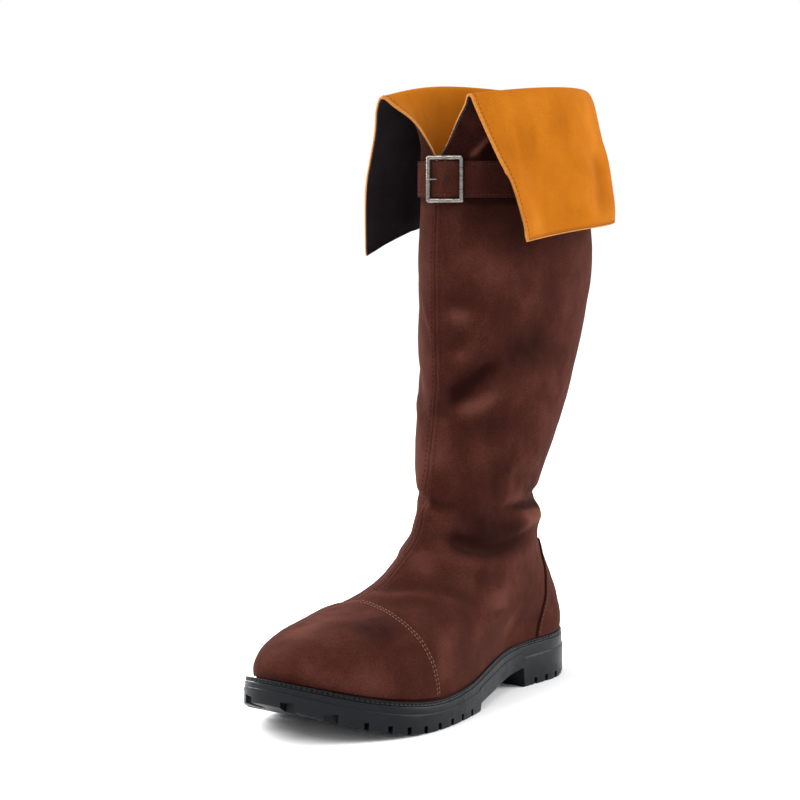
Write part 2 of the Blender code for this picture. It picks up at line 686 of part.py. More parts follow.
def build_insole():
    """Footbed on the outsole, inside the upper."""
    count = 48
    edge = upper_foot_ring(count, -(WALL + INSOLE_CLEAR))
    low = edge + np.array([0, 0, GAP])
    high = edge + np.array([0, 0, GAP + INSOLE_THICK])
    faces = lathe_like([low, high]) + cap_faces(0, count) + cap_faces(count, count)
    add_object("insole", np.concatenate([low, high]), faces, "insole_dark")


def belt_path(turn, offset):
    """Point round the belt's level at a distance off the shaft; turn as u on the upper."""
    middle = TOP_ROW - 0.5
    point = upper_point(turn, np.full_like(turn, middle))
    step = 0.002
    ahead = upper_point(turn + step, np.full_like(turn, middle))
    behind = upper_point(turn - step, np.full_like(turn, middle))
    tangent = (ahead - behind)[:, :2]
    normal = np.stack([tangent[:, 1], -tangent[:, 0]], 1)
    normal /= np.linalg.norm(normal, axis=1, keepdims=True)
    return point[:, :2] + np.asarray(offset)[:, None] * normal


def belt_turn_at(x):
    """Turn near the front at which the shaft's face lies this far to the outer side."""
    turns = np.linspace(-0.2, 0.2, 801)
    places = belt_path(turns, np.zeros(len(turns)))[:, 0]
    return float(np.interp(x, places, turns))


def buckle_frame_axes():
    """Middle of the shaft's face behind the buckle, and its directions along and out of it."""
    turn = belt_turn_at(BUCKLE_SHIFT)
    ends = belt_path(np.array([turn - 0.004, turn, turn + 0.004]), np.zeros(3))
    along = ends[2] - ends[0]
    along /= np.linalg.norm(along)
    outward = np.array([along[1], -along[0]])
    return ends[1], along, outward


def strap_offset(over):
    """Distance of the free end's inner face off the shaft, by its turn."""
    edge = BUCKLE_WIDTH / 2
    bar = belt_turn_at(BUCKLE_SHIFT)
    lap_from = belt_turn_at(BUCKLE_SHIFT + edge + 0.014)
    lap_to = belt_turn_at(BUCKLE_SHIFT + edge)
    lift = np.clip((lap_from - over) / (lap_from - lap_to), 0, 1)
    lift = lift**2 * (3 - 2 * lift) * (STRAP_THICK + GAP)
    hump = np.exp(-(((over - bar) / (0.50 * (lap_to - bar))) ** 2)) * (CENTRE_BAR + GAP)
    return STRAP_SEAT + lift + hump


def build_strap():
    """Belt round the shaft: its fixed end lies behind the buckle, its free end passes over the
    centre bar and ends on the inner side."""
    start = belt_turn_at(BUCKLE_SHIFT + CENTRE_BAR)
    tail = belt_turn_at(BUCKLE_SHIFT - BUCKLE_WIDTH / 2 - STRAP_TAIL)
    under_run = np.linspace(start, -0.09, 10)
    round_run = np.linspace(-0.115, -0.885, 42)
    over_run = np.linspace(-0.90, tail - 1.0, 40)
    turns = np.concatenate([under_run, round_run, over_run])
    over = turns + 1.0
    offset = np.where(over < 0.5, strap_offset(over), STRAP_SEAT)
    inner = belt_path(turns, offset)
    outer = belt_path(turns, offset + STRAP_THICK)
    low, high = STRAP_HEIGHT - STRAP_WIDTH / 2, STRAP_HEIGHT + STRAP_WIDTH / 2
    front = np.stack([np.column_stack([outer, np.full(len(outer), z)]) for z in (low, high)])
    back = np.stack([np.column_stack([inner, np.full(len(inner), z)]) for z in (low, high)])
    strap = add_sheet("strap", front, back, False, "suede_brown")
    middle, along, outward = buckle_frame_axes()
    hole = middle - along * PRONG_HOLE
    floor_of_hole = STRAP_SEAT + STRAP_THICK - PRONG_HOLE**2 / CALF_WIDTH
    corners = box_corners(
        hole + outward * floor_of_hole, along, outward, CALF_WIDTH / 4, PRONG_HOLE_LENGTH,
        STRAP_HEIGHT - PRONG_HOLE_WIDTH / 2, STRAP_HEIGHT + PRONG_HOLE_WIDTH / 2,
    )
    cut = strap.modifiers.new("hole", "BOOLEAN")
    cut.operation = "DIFFERENCE"
    cut.solver = "EXACT"
    cut.object = add_cutter("prong_hole_cutter", [corners])


def frame_depths():
    """Distances off the shaft's face: frame's back, frame's front, centre bar's middle."""
    middle, along, outward = buckle_frame_axes()
    turns = np.linspace(belt_turn_at(-CALF_WIDTH / 4), belt_turn_at(CALF_WIDTH / 4), 400)
    outer = belt_path(turns, strap_offset(turns) + STRAP_THICK) - middle
    places, heights = outer @ along, outer @ outward
    under_bars = np.abs(places) > BUCKLE_WIDTH / 2 - BUCKLE_BAR
    bar_middle = STRAP_SEAT + STRAP_THICK + GAP + CENTRE_BAR / 2
    back = max(float(heights[under_bars].max()) + GAP, bar_middle - BUCKLE_THICK / 2)
    return back, back + BUCKLE_THICK, bar_middle


def buckle_spot(place, off, z):
    """World point from a place along the strap, a distance off the shaft and a height."""
    middle, along, outward = buckle_frame_axes()
    flat = middle + along * place + outward * off
    return (float(flat[0]), float(flat[1]), STRAP_HEIGHT + z)


def build_buckle():
    """Square frame with bevelled bars and a thin bar across its middle."""
    back, front, bar_middle = frame_depths()
    wide, tall = BUCKLE_WIDTH / 2, STRAP_WIDTH / 2 + STRAP_PLAY + BUCKLE_BAR
    loops = (
        (0.0, back), (0.0, front - BUCKLE_BEVEL), (BUCKLE_BEVEL, front),
        (BUCKLE_BAR - BUCKLE_BEVEL, front), (BUCKLE_BAR, front - BUCKLE_BEVEL), (BUCKLE_BAR, back),
    )
    rings = []
    for inset, off in loops:
        radius = max(BUCKLE_CORNER - inset, BUCKLE_BEVEL)
        ring = []
        for sx, sz, base in ((1, 1, 0.0), (-1, 1, 90.0), (-1, -1, 180.0), (1, -1, 270.0)):
            for step in range(4):
                angle = math.radians(base + step * 30.0)
                x = sx * (wide - inset - radius) + radius * math.cos(angle)
                z = sz * (tall - inset - radius) + radius * math.sin(angle)
                ring.append(buckle_spot(x, off, z))
        rings.append(np.array(ring))
    count = len(rings[0])
    wrap = len(rings) * count
    faces = [tuple(i % wrap for i in face) for face in lathe_like(rings + [rings[0]])]
    frame = add_object("buckle_frame", np.concatenate(rings), faces, "metal_silver")
    reach = tall - BUCKLE_BAR / 2
    half = CENTRE_BAR / 2
    corners = []
    for z in (-reach, reach):
        for place, off in ((-half, -half), (half, -half), (half, half), (-half, half)):
            corners.append(buckle_spot(place, bar_middle + off, z))
    join = frame.modifiers.new("centre_bar", "BOOLEAN")
    join.operation = "UNION"
    join.solver = "EXACT"
    join.object = add_cutter("centre_bar", [corners])


def build_prong():
    """Pin from the centre bar, up through the free end's hole and onto the frame's inner bar."""
    back, front, bar_middle = frame_depths()
    half = PRONG_THICK / 2
    side = -BUCKLE_WIDTH / 2
    low = bar_middle - CENTRE_BAR / 2 + half
    path = (
        (-CENTRE_BAR / 2 - GAP, low, 1.0), (-PRONG_HOLE + PRONG_HOLE_LENGTH / 2, low, 1.0),
        (side + BUCKLE_BAR, front + GAP + half, 1.0), (side + BUCKLE_BAR / 2, front + GAP + half, 1.0),
        (side + BUCKLE_BAR / 5, front + GAP + half * 0.7, 0.7),
    )
    rings = []
    for place, off, size in path:
        ring = [
            buckle_spot(place, off + size * half * math.cos(a), size * half * math.sin(a))
            for a in np.radians(np.arange(0, 360, 45))
        ]
        rings.append(np.array(ring))
    count = len(rings[0])
    faces = lathe_like(rings)
    faces.append(tuple(range(count)))
    faces.append(tuple(range((len(rings) - 1) * count, len(rings) * count)))
    add_object("buckle_prong", np.concatenate(rings), faces, "metal_silver")


def main():
    clear_scene()
    build_outsole()
    build_welt()
    build_insole()
    build_upper()
    build_toe_cap()
    build_heel_counter()
    build_cuff()
    build_strap()
    build_buckle()
    build_prong()


main()
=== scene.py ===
"""Looks of the medieval boot: suede foot and shaft, ochre turned-down cuff, strap, buckle, sole."""
import math

import bmesh
import bpy
import numpy as np
from mathutils import Matrix


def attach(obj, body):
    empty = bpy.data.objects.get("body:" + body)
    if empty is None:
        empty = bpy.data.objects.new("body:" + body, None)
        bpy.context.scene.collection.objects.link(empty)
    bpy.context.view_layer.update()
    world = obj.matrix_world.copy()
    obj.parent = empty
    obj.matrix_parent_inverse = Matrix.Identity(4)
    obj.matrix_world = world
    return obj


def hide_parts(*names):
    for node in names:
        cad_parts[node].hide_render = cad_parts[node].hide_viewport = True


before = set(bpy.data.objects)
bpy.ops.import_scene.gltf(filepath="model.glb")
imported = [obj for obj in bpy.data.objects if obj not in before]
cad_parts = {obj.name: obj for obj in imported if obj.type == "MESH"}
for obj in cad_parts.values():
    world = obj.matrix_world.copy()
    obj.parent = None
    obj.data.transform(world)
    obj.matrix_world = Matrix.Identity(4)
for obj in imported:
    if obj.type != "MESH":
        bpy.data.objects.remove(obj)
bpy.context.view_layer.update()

# Overall sizes
LENGTH = 0.300            # outsole, from the back of the heel to the toe
HEEL_BACK = 0.038         # back of the heel behind the origin
BALL_WIDTH = 0.1175       # outsole, over the ball of the foot
HEEL_WIDTH = 0.0715       # outsole, over the heel
TOE_TURN = 0.006          # the toe's tip lies this far towards the inner side
INSTEP_HEIGHT = 0.1076    # floor to the bend between instep and shin
BELT_SEAM = 0.3545        # floor to the seam under the strap, where the cuff starts
CALF_DEPTH = 0.164        # shaft at the calf, front to back
CALF_WIDTH = 0.095        # shaft at the calf, side to side
SHIN_FRONT = 0.1285       # front of the shaft, ahead of the back of the heel
CUFF_RISE = 0.055         # seam under the strap to the fold's front corners
CUFF_DROP = 0.095         # fold's front corners down to the hem
CUFF_SPREAD = 0.0365      # half the slit's width at the fold
INNER_LIFT = 0.0030       # the fold stands higher by this along the inner side

# Walls and clearances
WALL = 0.0022             # suede and lining of the foot and shaft
CUFF_WALL = 0.0024        # suede and lining of the cuff
OVERLAY = 0.0012          # toe cap and heel counter
GAP = 0.0003              # between pieces that touch
STRAP_SEAT = 0.00045      # strap to the shaft
OVERLAY_SEAT = 0.00045    # overlays to the foot

# Sole
HEEL_SEAT = 0.0297        # floor to the outsole's top at the heel
BALL_SEAT = 0.0170        # floor to the outsole's top at the ball
TOE_SEAT = 0.0378         # floor to the outsole's top at the toe
TOE_SPRING = 0.0240       # floor to the underside of the toe
ARCH_RISE = 0.0135        # floor to the underside of the waist, at the heel's front
HEEL_LENGTH = 0.072       # heel block, front to back
HEEL_BEVEL = 0.0040       # lift of the heel's underside at its back
HEEL_BEVEL_LENGTH = 0.026
TREAD_BACK = 0.148        # back edge of the front tread, ahead of the back of the heel
TREAD_STEP = 0.0050       # height of the front tread's back edge
SIDE_STEP = 0.0007        # the side wall's upper band stands back by this
SIDE_BAND = 0.72          # share of the side wall's height below that band
WELT_HEIGHT = 0.0030
WELT_CLEAR = 0.0011       # welt to the upper's foot, whose wall leans out above its lower edge
WELT_INSET = 0.0004       # welt's outer edge, in from the outsole's side
LUG_HEIGHT = 0.0050       # depth of the notches between lugs
LUG_GAP = 0.0032          # width of the notches between lugs
LUG_REACH = 0.011         # how far a notch runs in from the sole's side
TOE_NOTCH_WIDTH = 0.0095  # the two wide notches at the toe
TREAD_GROOVE = 0.0022     # depth of the grooves across the tread
TREAD_GROOVE_WIDTH = 0.0045

# Strap and buckle
STRAP_WIDTH = 0.0246
STRAP_THICK = 0.0016
STRAP_PLAY = 0.0005       # strap's edge to the buckle's upper and lower bar
STRAP_RISE = 0.0010       # strap's middle above the seam that it covers
STRAP_HEIGHT = BELT_SEAM + STRAP_RISE
STRAP_TAIL = 0.008        # free end beyond the buckle
BUCKLE_WIDTH = 0.0266
BUCKLE_BAR = 0.0032       # width of the frame's bars
BUCKLE_THICK = 0.0030
BUCKLE_SHIFT = 0.0078     # buckle's middle, towards the outer side of the seam
BUCKLE_BEVEL = 0.0007
BUCKLE_CORNER = 0.0022
CENTRE_BAR = 0.0020
PRONG_THICK = 0.0012
PRONG_HOLE = 0.0062       # hole in the free end, from the centre bar's middle
PRONG_HOLE_LENGTH = 0.0058

# Half widths of the outsole
# columns: share of the length from the toe, width that the row follows, outer share, inner share
OUTLINE = (
    (0.00, BALL_WIDTH, 0.435, 0.410),
    (0.08, BALL_WIDTH, 0.468, 0.438),
    (0.20, BALL_WIDTH, 0.528, 0.456),
    (0.32, BALL_WIDTH, 0.544, 0.424),
    (0.45, BALL_WIDTH, 0.494, 0.346),
    (0.58, BALL_WIDTH, 0.400, 0.272),
    (0.70, HEEL_WIDTH, 0.505, 0.480),
    (0.85, HEEL_WIDTH, 0.500, 0.495),
    (1.00, HEEL_WIDTH, 0.500, 0.500),
)
TOE_ROUND = 0.28          # share of the length that the toe's curve takes
HEEL_ROUND = 0.14
TOE_FULL = 2.2            # exponent of the toe's curve, 2 is an ellipse
HEEL_FULL = 2.1

# Top of the outsole
# columns: share of the length from the toe, height
SEAT = (
    (0.00, TOE_SEAT),
    (0.15, 0.65 * BALL_SEAT + 0.35 * TOE_SEAT),
    (0.30, BALL_SEAT),
    (0.45, BALL_SEAT + 0.08 * (HEEL_SEAT - BALL_SEAT)),
    (0.60, 0.40 * BALL_SEAT + 0.60 * HEEL_SEAT),
    (0.75, HEEL_SEAT - 0.10 * (HEEL_SEAT - BALL_SEAT)),
    (0.90, HEEL_SEAT),
    (1.00, HEEL_SEAT),
)

# Sections of the foot, from the lower edge up to the instep. Each lies in a sloping plane.
# columns: front, ahead of the heel's back, as share of LENGTH; its height between seat and instep;
#   back, as share of LENGTH; its height between seat and instep; share of the sole's outline;
#   half width of the oval, as share of BALL_WIDTH; share of the oval in the mix; how far the
#   section follows the bend of the sole; exponent of the oval; place of its widest point
FOOT_SECTIONS = (
    (0.967, 0.000, 0.0175, 0.000, 0.920, 0.45, 0.00, 1.00, 2.0, 0.42),
    (0.968, 0.150, 0.0130, 0.120, 0.935, 0.45, 0.00, 0.86, 2.0, 0.42),
    (0.948, 0.290, 0.0110, 0.206, 0.918, 0.45, 0.15, 0.58, 2.0, 0.42),
    (0.905, 0.410, 0.0120, 0.296, 0.880, 0.430, 0.45, 0.34, 2.0, 0.43),
    (0.840, 0.505, 0.0140, 0.393, 0.840, 0.400, 0.75, 0.18, 2.0, 0.44),
    (0.760, 0.582, 0.0220, 0.502, 0.800, 0.365, 0.92, 0.08, 1.95, 0.46),
    (0.680, 0.650, 0.0370, 0.631, 0.800, 0.338, 1.00, 0.00, 1.90, 0.48),
    (0.597, 0.771, 0.0520, 0.773, 0.800, 0.312, 1.00, 0.00, 1.75, 0.51),
    (0.514, 1.000, 0.0610, 0.928, 0.800, 0.287, 1.00, 0.00, 1.70, 0.53),
)

# Sections of the shaft, level, from the ankle up to the seam under the strap
# columns: height between instep and seam; front, ahead of the shin line, as share of CALF_DEPTH;
#   back, behind the shin line, as share of CALF_DEPTH; half width as share of CALF_WIDTH; exponent
LEG_SECTIONS = (
    (0.044, 0.106, 0.690, 0.340, 1.75),
    (0.089, 0.079, 0.648, 0.318, 1.75),
    (0.135, 0.069, 0.656, 0.352, 1.80),
    (0.208, 0.053, 0.690, 0.410, 1.82),
    (0.322, 0.023, 0.770, 0.463, 1.85),
    (0.443, 0.000, 0.846, 0.490, 1.88),
    (0.605, 0.006, 0.942, 0.503, 1.90),
    (0.767, 0.010, 1.006, 0.508, 1.90),
    (0.925, 0.000, 0.985, 0.490, 1.90),
    (1.000, 0.000, 0.985, 0.490, 1.90),
)
BELT_ROW = LEG_SECTIONS[-1]

# Sections of the cuff, from the seam over the fold and down to the hem
# columns: height above the seam as share of CUFF_RISE, or above the hem's front as share of
#   CUFF_DROP; front, ahead of the shin line, and back, behind it, as shares of CALF_DEPTH; half
#   width as share of CALF_WIDTH; half the slit as share of CUFF_SPREAD; rise of the sides and
#   rise of the back, as shares of CUFF_RISE; drop of the inner side's front corner, the same
NECK_SECTIONS = (
    (0.010, 0.000, 0.985, 0.490, 0.010, 0.00, 0.00, 0.00),
    (0.250, 0.000, 0.985, 0.490, 0.060, 0.00, 0.00, 0.00),
    (0.455, -0.008, 0.974, 0.488, 0.265, 0.01, 0.01, 0.00),
    (0.720, 0.006, 0.950, 0.482, 0.550, 0.03, 0.05, 0.00),
    (0.900, 0.044, 0.932, 0.478, 0.850, 0.06, 0.09, 0.00),
    (1.000, 0.072, 0.944, 0.494, 1.010, 0.07, 0.10, 0.00),
)
FLAP_SECTIONS = (
    (0.935, 0.072, 0.974, 0.525, 1.110, 0.07, 0.10, 0.00),
    (0.760, 0.046, 0.990, 0.570, 1.270, 0.06, 0.10, 0.01),
    (0.400, 0.002, 1.016, 0.645, 1.640, 0.06, 0.15, 0.09),
    (0.000, -0.052, 1.030, 0.695, 1.850, 0.04, 0.21, 0.22),
)

# Overlays
CAP_LINE = 0.7017         # back edge of the toe cap at its side, ahead of the heel, share of LENGTH
CAP_SWEEP = 0.030         # the edge runs back by this share of LENGTH at the sole
CAP_CROWN = 0.024         # and by this share at the middle of the foot
CAP_TOP_ROW = 6.03        # section where the cap's edge meets the middle
COUNTER_FOOT = 0.185      # front edge of the heel counter at the sole, share of LENGTH
COUNTER_TOP = 0.085       # the same at its top
COUNTER_TOP_ROW = 7.7
OVERLAY_FOOT_ROW = 0.45   # section where the overlays start, just above the welt

# Places of the notches along the outsole's side
# columns: share of the length from the toe, width
NOTCHES = (
    (0.012, TOE_NOTCH_WIDTH), (0.067, TOE_NOTCH_WIDTH), (0.128, LUG_GAP), (0.175, LUG_GAP),
    (0.220, LUG_GAP), (0.266, LUG_GAP), (0.313, LUG_GAP), (0.361, LUG_GAP), (0.408, LUG_GAP),
    (0.455, LUG_GAP), (0.805, LUG_GAP), (0.847, LUG_GAP), (0.889, LUG_GAP),
)
GROOVES = (0.15, 0.22, 0.42, 0.47, 0.80)         # grooves across the tread, share from the toe


def smooth_rows(table, v):
    """Row of a table at v, a smooth curve through the rows (Catmull-Rom)."""
    table = np.asarray(table, float)
    v = np.clip(np.asarray(v, float), 0, len(table) - 1)
    low = np.minimum(v.astype(int), len(table) - 2)
    t = (v - low)[..., None]
    before = table[np.maximum(low - 1, 0)]
    first, second = table[low], table[low + 1]
    after = table[np.minimum(low + 2, len(table) - 1)]
    rise_first = (second - before) / 2
    rise_second = (after - first) / 2
    return (
        (2 * t**3 - 3 * t**2 + 1) * first + (t**3 - 2 * t**2 + t) * rise_first
        + (3 * t**2 - 2 * t**3) * second + (t**3 - t**2) * rise_second
    )


def smooth_curve(rows, share):
    """Value at a share of the length, smooth through rows of (share, value)."""
    rows = np.asarray(rows, float)
    slopes = np.gradient(rows[:, 1], rows[:, 0])
    share = np.clip(share, 0, 1)
    low = np.clip(np.searchsorted(rows[:, 0], share, side="right") - 1, 0, len(rows) - 2)
    width = rows[low + 1, 0] - rows[low, 0]
    t = (share - rows[low, 0]) / width
    return (
        (2 * t**3 - 3 * t**2 + 1) * rows[low, 1] + (t**3 - 2 * t**2 + t) * width * slopes[low]
        + (3 * t**2 - 2 * t**3) * rows[low + 1, 1] + (t**3 - t**2) * width * slopes[low + 1]
    )


def round_end(share, reach, exponent):
    """1 along the middle, running round to 0 at an end of the outline."""
    inside = np.clip(1 - share / reach, 0, 1)
    return np.clip(1 - inside**exponent, 0, 1) ** (1 / exponent)


def outline_half(share, side):
    """Half width of the outsole at a share of its length from the toe."""
    outer = [(row[0], row[1] * row[2]) for row in OUTLINE]
    inner = [(row[0], row[1] * row[3]) for row in OUTLINE]
    half = np.where(side > 0, smooth_curve(outer, share), smooth_curve(inner, share))
    ends = round_end(share, TOE_ROUND, TOE_FULL) * round_end(1 - share, HEEL_ROUND, HEEL_FULL)
    return half * ends


def middle_line(y):
    """Sideways place of the foot's middle line, which turns inwards at the toe."""
    ahead = np.clip((HEEL_BACK - y) / LENGTH, 0, 1.1)
    return -TOE_TURN * np.clip((ahead - 0.6) / 0.4, 0, 1.2) ** 2


def y_at(share_from_heel):
    return HEEL_BACK - share_from_heel * LENGTH


def share_from_toe(y):
    return 1 - (HEEL_BACK - y) / LENGTH


def seat_height(y):
    return smooth_curve(SEAT, share_from_toe(y))


def oval_half(share, exponent, widest):
    """Half width of an oval of width 1, from its front at 0 to its back at 1."""
    front = np.clip(1 - share / widest, 0, 1)
    back = np.clip((share - widest) / (1 - widest), 0, 1)
    return np.clip(1 - np.maximum(front, back) ** exponent, 0, 1) ** (1 / exponent)


def upper_rows():
    """The section tables in metres: front y, front z, back y, back z, outline share, oval half
    width, mix, follow, exponent, widest."""
    rows = []
    for front, front_rise, back, back_rise, outline, half, mix, follow, power, widest in FOOT_SECTIONS:
        y_front, y_back = y_at(front), y_at(back)
        seat_front = float(seat_height(y_front)) + GAP
        seat_back = float(seat_height(y_back)) + GAP
        rows.append((
            y_front, seat_front + front_rise * (INSTEP_HEIGHT - seat_front),
            y_back, seat_back + back_rise * (INSTEP_HEIGHT - seat_back),
            outline, half * BALL_WIDTH, mix, follow, power, widest,
        ))
    shin = HEEL_BACK - SHIN_FRONT
    for rise, front, back, half, power in LEG_SECTIONS:
        z = INSTEP_HEIGHT + rise * (BELT_SEAM - INSTEP_HEIGHT)
        rows.append((
            shin - front * CALF_DEPTH, z, shin + back * CALF_DEPTH, z,
            0.8, half * CALF_WIDTH, 1.0, 0.0, power, 0.5,
        ))
    return np.array(rows)


UPPER_ROWS = upper_rows()
TOP_ROW = len(UPPER_ROWS) - 1


def side_and_share(u):
    """u runs from 0 at the front round the outer side, the back and the inner side to 1."""
    u = np.asarray(u, float) % 1.0
    side = np.where(u < 0.5, 1.0, -1.0)
    turn = np.where(u < 0.5, 2 * u, 2 - 2 * u)
    return side, (1 - np.cos(math.pi * turn)) / 2


def upper_point(u, v):
    """Outer face of the upper: u round the section, v up through the rows."""
    u, v = np.broadcast_arrays(np.asarray(u, float), np.asarray(v, float))
    row = np.moveaxis(smooth_rows(UPPER_ROWS, v), -1, 0)
    y_front, z_front, y_back, z_back, outline, half, mix, follow, power, widest = row
    side, share = side_and_share(u)
    y = y_front + share * (y_back - y_front)
    bend = seat_height(y) - seat_height(y_front) * (1 - share) - seat_height(y_back) * share
    z = z_front + share * (z_back - z_front) + follow * bend
    width = (1 - mix) * outline * outline_half(share, side) + mix * half * oval_half(share, power, widest)
    return np.stack([side * width + middle_line(y), y, z], -1)


def upper_normal(u, v):
    """Outward direction of the upper's face."""
    step_u, step_v = 0.004, 0.05
    v = np.asarray(v, float)
    along_u = upper_point(u + step_u, v) - upper_point(u - step_u, v)
    high = np.minimum(v + step_v, TOP_ROW)
    low = np.maximum(v - step_v, 0)
    along_v = upper_point(u, high) - upper_point(u, low)
    normal = np.cross(along_u, along_v)
    return normal / np.linalg.norm(normal, axis=-1, keepdims=True)


def edge_turn(share):
    """Turn round the section at which a share of its depth lies."""
    return np.arccos(np.clip(1 - 2 * share, -1, 1)) / (2 * math.pi)


def cuff_rows():
    """The cuff's tables in metres: front y, front z, back y, half width, half slit, rise of the
    sides, rise of the back, drop of the inner front corner."""
    shin = HEEL_BACK - SHIN_FRONT
    fold = BELT_SEAM + CUFF_RISE
    rows = []
    for table, base, span in (
        (NECK_SECTIONS, BELT_SEAM, CUFF_RISE),
        (FLAP_SECTIONS, fold - CUFF_DROP, CUFF_DROP),
    ):
        for height, front, back, half, slit, side_rise, back_rise, drop in table:
            rows.append((
                shin - front * CALF_DEPTH, base + height * span, shin + back * CALF_DEPTH,
                half * CALF_WIDTH, slit * CUFF_SPREAD,
                side_rise * CUFF_RISE, back_rise * CUFF_RISE, drop * CUFF_RISE,
            ))
    return np.array(rows)


CUFF_ROWS = cuff_rows()
CUFF_TOP_ROW = len(CUFF_ROWS) - 1


def cuff_point(u, v):
    """Outer face of the neck, which becomes the hidden face of the turned-down flap.
    u runs from 0 at the slit's outer edge round the back to 1 at its inner edge."""
    u, v = np.broadcast_arrays(np.asarray(u, float), np.asarray(v, float))
    row = np.moveaxis(smooth_rows(CUFF_ROWS, v), -1, 0)
    y_front, z_front, y_back, half, slit, side_rise, back_rise, drop = row
    side = np.where(u <= 0.5, 1.0, -1.0)
    turn = np.where(u <= 0.5, 2 * u, 2 - 2 * u)
    share = (1 - np.cos(math.pi * np.clip(turn, 0, 1))) / 2
    y = y_front + share * (y_back - y_front)
    oval = oval_half(share, BELT_ROW[4], 0.5)
    front_part = np.clip(1 - 2 * share, 0, 1)
    width = np.sqrt((half * oval) ** 2 + (slit * front_part) ** 2)
    side_rise = side_rise + np.where(side < 0, INNER_LIFT * side_rise / np.max(CUFF_ROWS[:, 5]), 0)
    z = z_front + side_rise * np.sin(math.pi * share) + back_rise * share
    z = z - np.where(side < 0, drop * front_part**2, 0)
    return np.stack([side * width, y, z], -1)


def cuff_normal(u, v):
    step = 0.004
    low_u, high_u = np.clip(u - step, 0, 1), np.clip(u + step, 0, 1)
    low_v = np.clip(v - step * 10, 0, CUFF_TOP_ROW)
    high_v = np.clip(v + step * 10, 0, CUFF_TOP_ROW)
    along_u = cuff_point(high_u, v) - cuff_point(low_u, v)
    along_v = cuff_point(u, high_v) - cuff_point(u, low_v)
    normal = np.cross(along_u, along_v)
    return normal / np.linalg.norm(normal, axis=-1, keepdims=True)


def floor_height(share):
    """Underside of the outsole: toe spring, front tread, raised waist, heel."""
    tread_end = 1 - TREAD_BACK / LENGTH
    heel_start = 1 - HEEL_LENGTH / LENGTH
    spring = TOE_SPRING * np.clip(1 - share / 0.31, 0, 1) ** 2
    along = np.clip((share - tread_end) / (heel_start - tread_end), 0, 1)
    waist = TREAD_STEP + (ARCH_RISE - TREAD_STEP) * along
    bevel = HEEL_BEVEL * np.clip(1 - (1 - share) * LENGTH / HEEL_BEVEL_LENGTH, 0, 1)
    return np.where((share > tread_end) & (share < heel_start), waist, spring + bevel)


def sole_ring(shares, inset):
    """Points round the outsole's outline, drawn in by an inset along its normal."""
    shares = np.asarray(shares)
    loop = np.concatenate([shares, shares[-2:0:-1]])
    side = np.concatenate([np.ones(len(shares)), -np.ones(len(shares) - 2)])
    y = HEEL_BACK - LENGTH * (1 - loop)
    x = side * outline_half(loop, side) + middle_line(y)
    flat = np.stack([x, y], 1)
    tangent = np.roll(flat, -1, 0) - np.roll(flat, 1, 0)
    normal = np.stack([tangent[:, 1], -tangent[:, 0]], 1)
    normal /= np.linalg.norm(normal, axis=1, keepdims=True)
    return flat - inset * normal, loop


def lathe_like(rings):
    """Faces between closed rings of equal size, in order."""
    count = len(rings[0])
    faces = []
    for i in range(len(rings) - 1):
        for j in range(count):
            k = (j + 1) % count
            faces.append((i * count + j, i * count + k, (i + 1) * count + k, (i + 1) * count + j))
    return faces


def cap_faces(start, count):
    """Faces across a ring from its outer side to its inner side; the tips are single points."""
    faces = [(start, start + 1, start + count - 1)]
    for i in range(1, count // 2 - 1):
        faces.append((start + i, start + i + 1, start + count - i - 1, start + count - i))
    half = count // 2
    faces.append((start + half - 1, start + half, start + half + 1))
    return faces


def box_corners(centre, along, inward, length, width, low, high):
    """Corners of an upright box; along and inward are unit vectors in the floor's plane."""
    corners = []
    for z in (low, high):
        for a, b in ((-1, 0), (1, 0), (1, 1), (-1, 1)):
            spot = centre + along * a * width / 2 + inward * b * length
            corners.append((spot[0], spot[1], z))
    return corners


def notch_boxes():
    """The gaps between lugs: open at the sole's side and below."""
    boxes = []
    outside = below = LUG_HEIGHT
    for side in (1.0, -1.0):
        for share, width in NOTCHES:
            near = np.array([share - 0.004, share + 0.004])
            y = HEEL_BACK - LENGTH * (1 - near)
            x = side * outline_half(near, np.full(2, side)) + middle_line(y)
            along = np.array([x[1] - x[0], y[1] - y[0]])
            along /= np.linalg.norm(along)
            inward = side * np.array([-along[1], along[0]])
            centre = np.array([x.mean(), y.mean()]) - inward * outside
            base = float(floor_height(np.array(share)))
            boxes.append(box_corners(
                centre, along, inward, outside + LUG_REACH, width, base - below, base + LUG_HEIGHT,
            ))
    return boxes


def groove_boxes():
    """Shallow grooves across the middle of the tread."""
    boxes = []
    for share in GROOVES:
        y = HEEL_BACK - LENGTH * (1 - share)
        half = 0.55 * float(outline_half(np.array(share), np.array(1.0)))
        base = float(floor_height(np.array(share)))
        centre = np.array([-half + float(middle_line(y)), y])
        along, inward = np.array([0.0, 1.0]), np.array([1.0, 0.0])
        boxes.append(box_corners(
            centre, along, inward, 2 * half, TREAD_GROOVE_WIDTH, base - TREAD_GROOVE, base + TREAD_GROOVE,
        ))
    return boxes


def upper_foot_ring(count, offset):
    """Lower edge of the upper's outer face, moved along the floor by an offset."""
    u = np.arange(count) / count
    point = upper_point(u, np.zeros(count))
    tangent = np.roll(point, -1, 0) - np.roll(point, 1, 0)
    normal = np.stack([tangent[:, 1], -tangent[:, 0], np.zeros(count)], 1)
    normal /= np.linalg.norm(normal, axis=1, keepdims=True)
    moved = point + offset * normal
    moved[:, 2] = seat_height(moved[:, 1])
    return moved


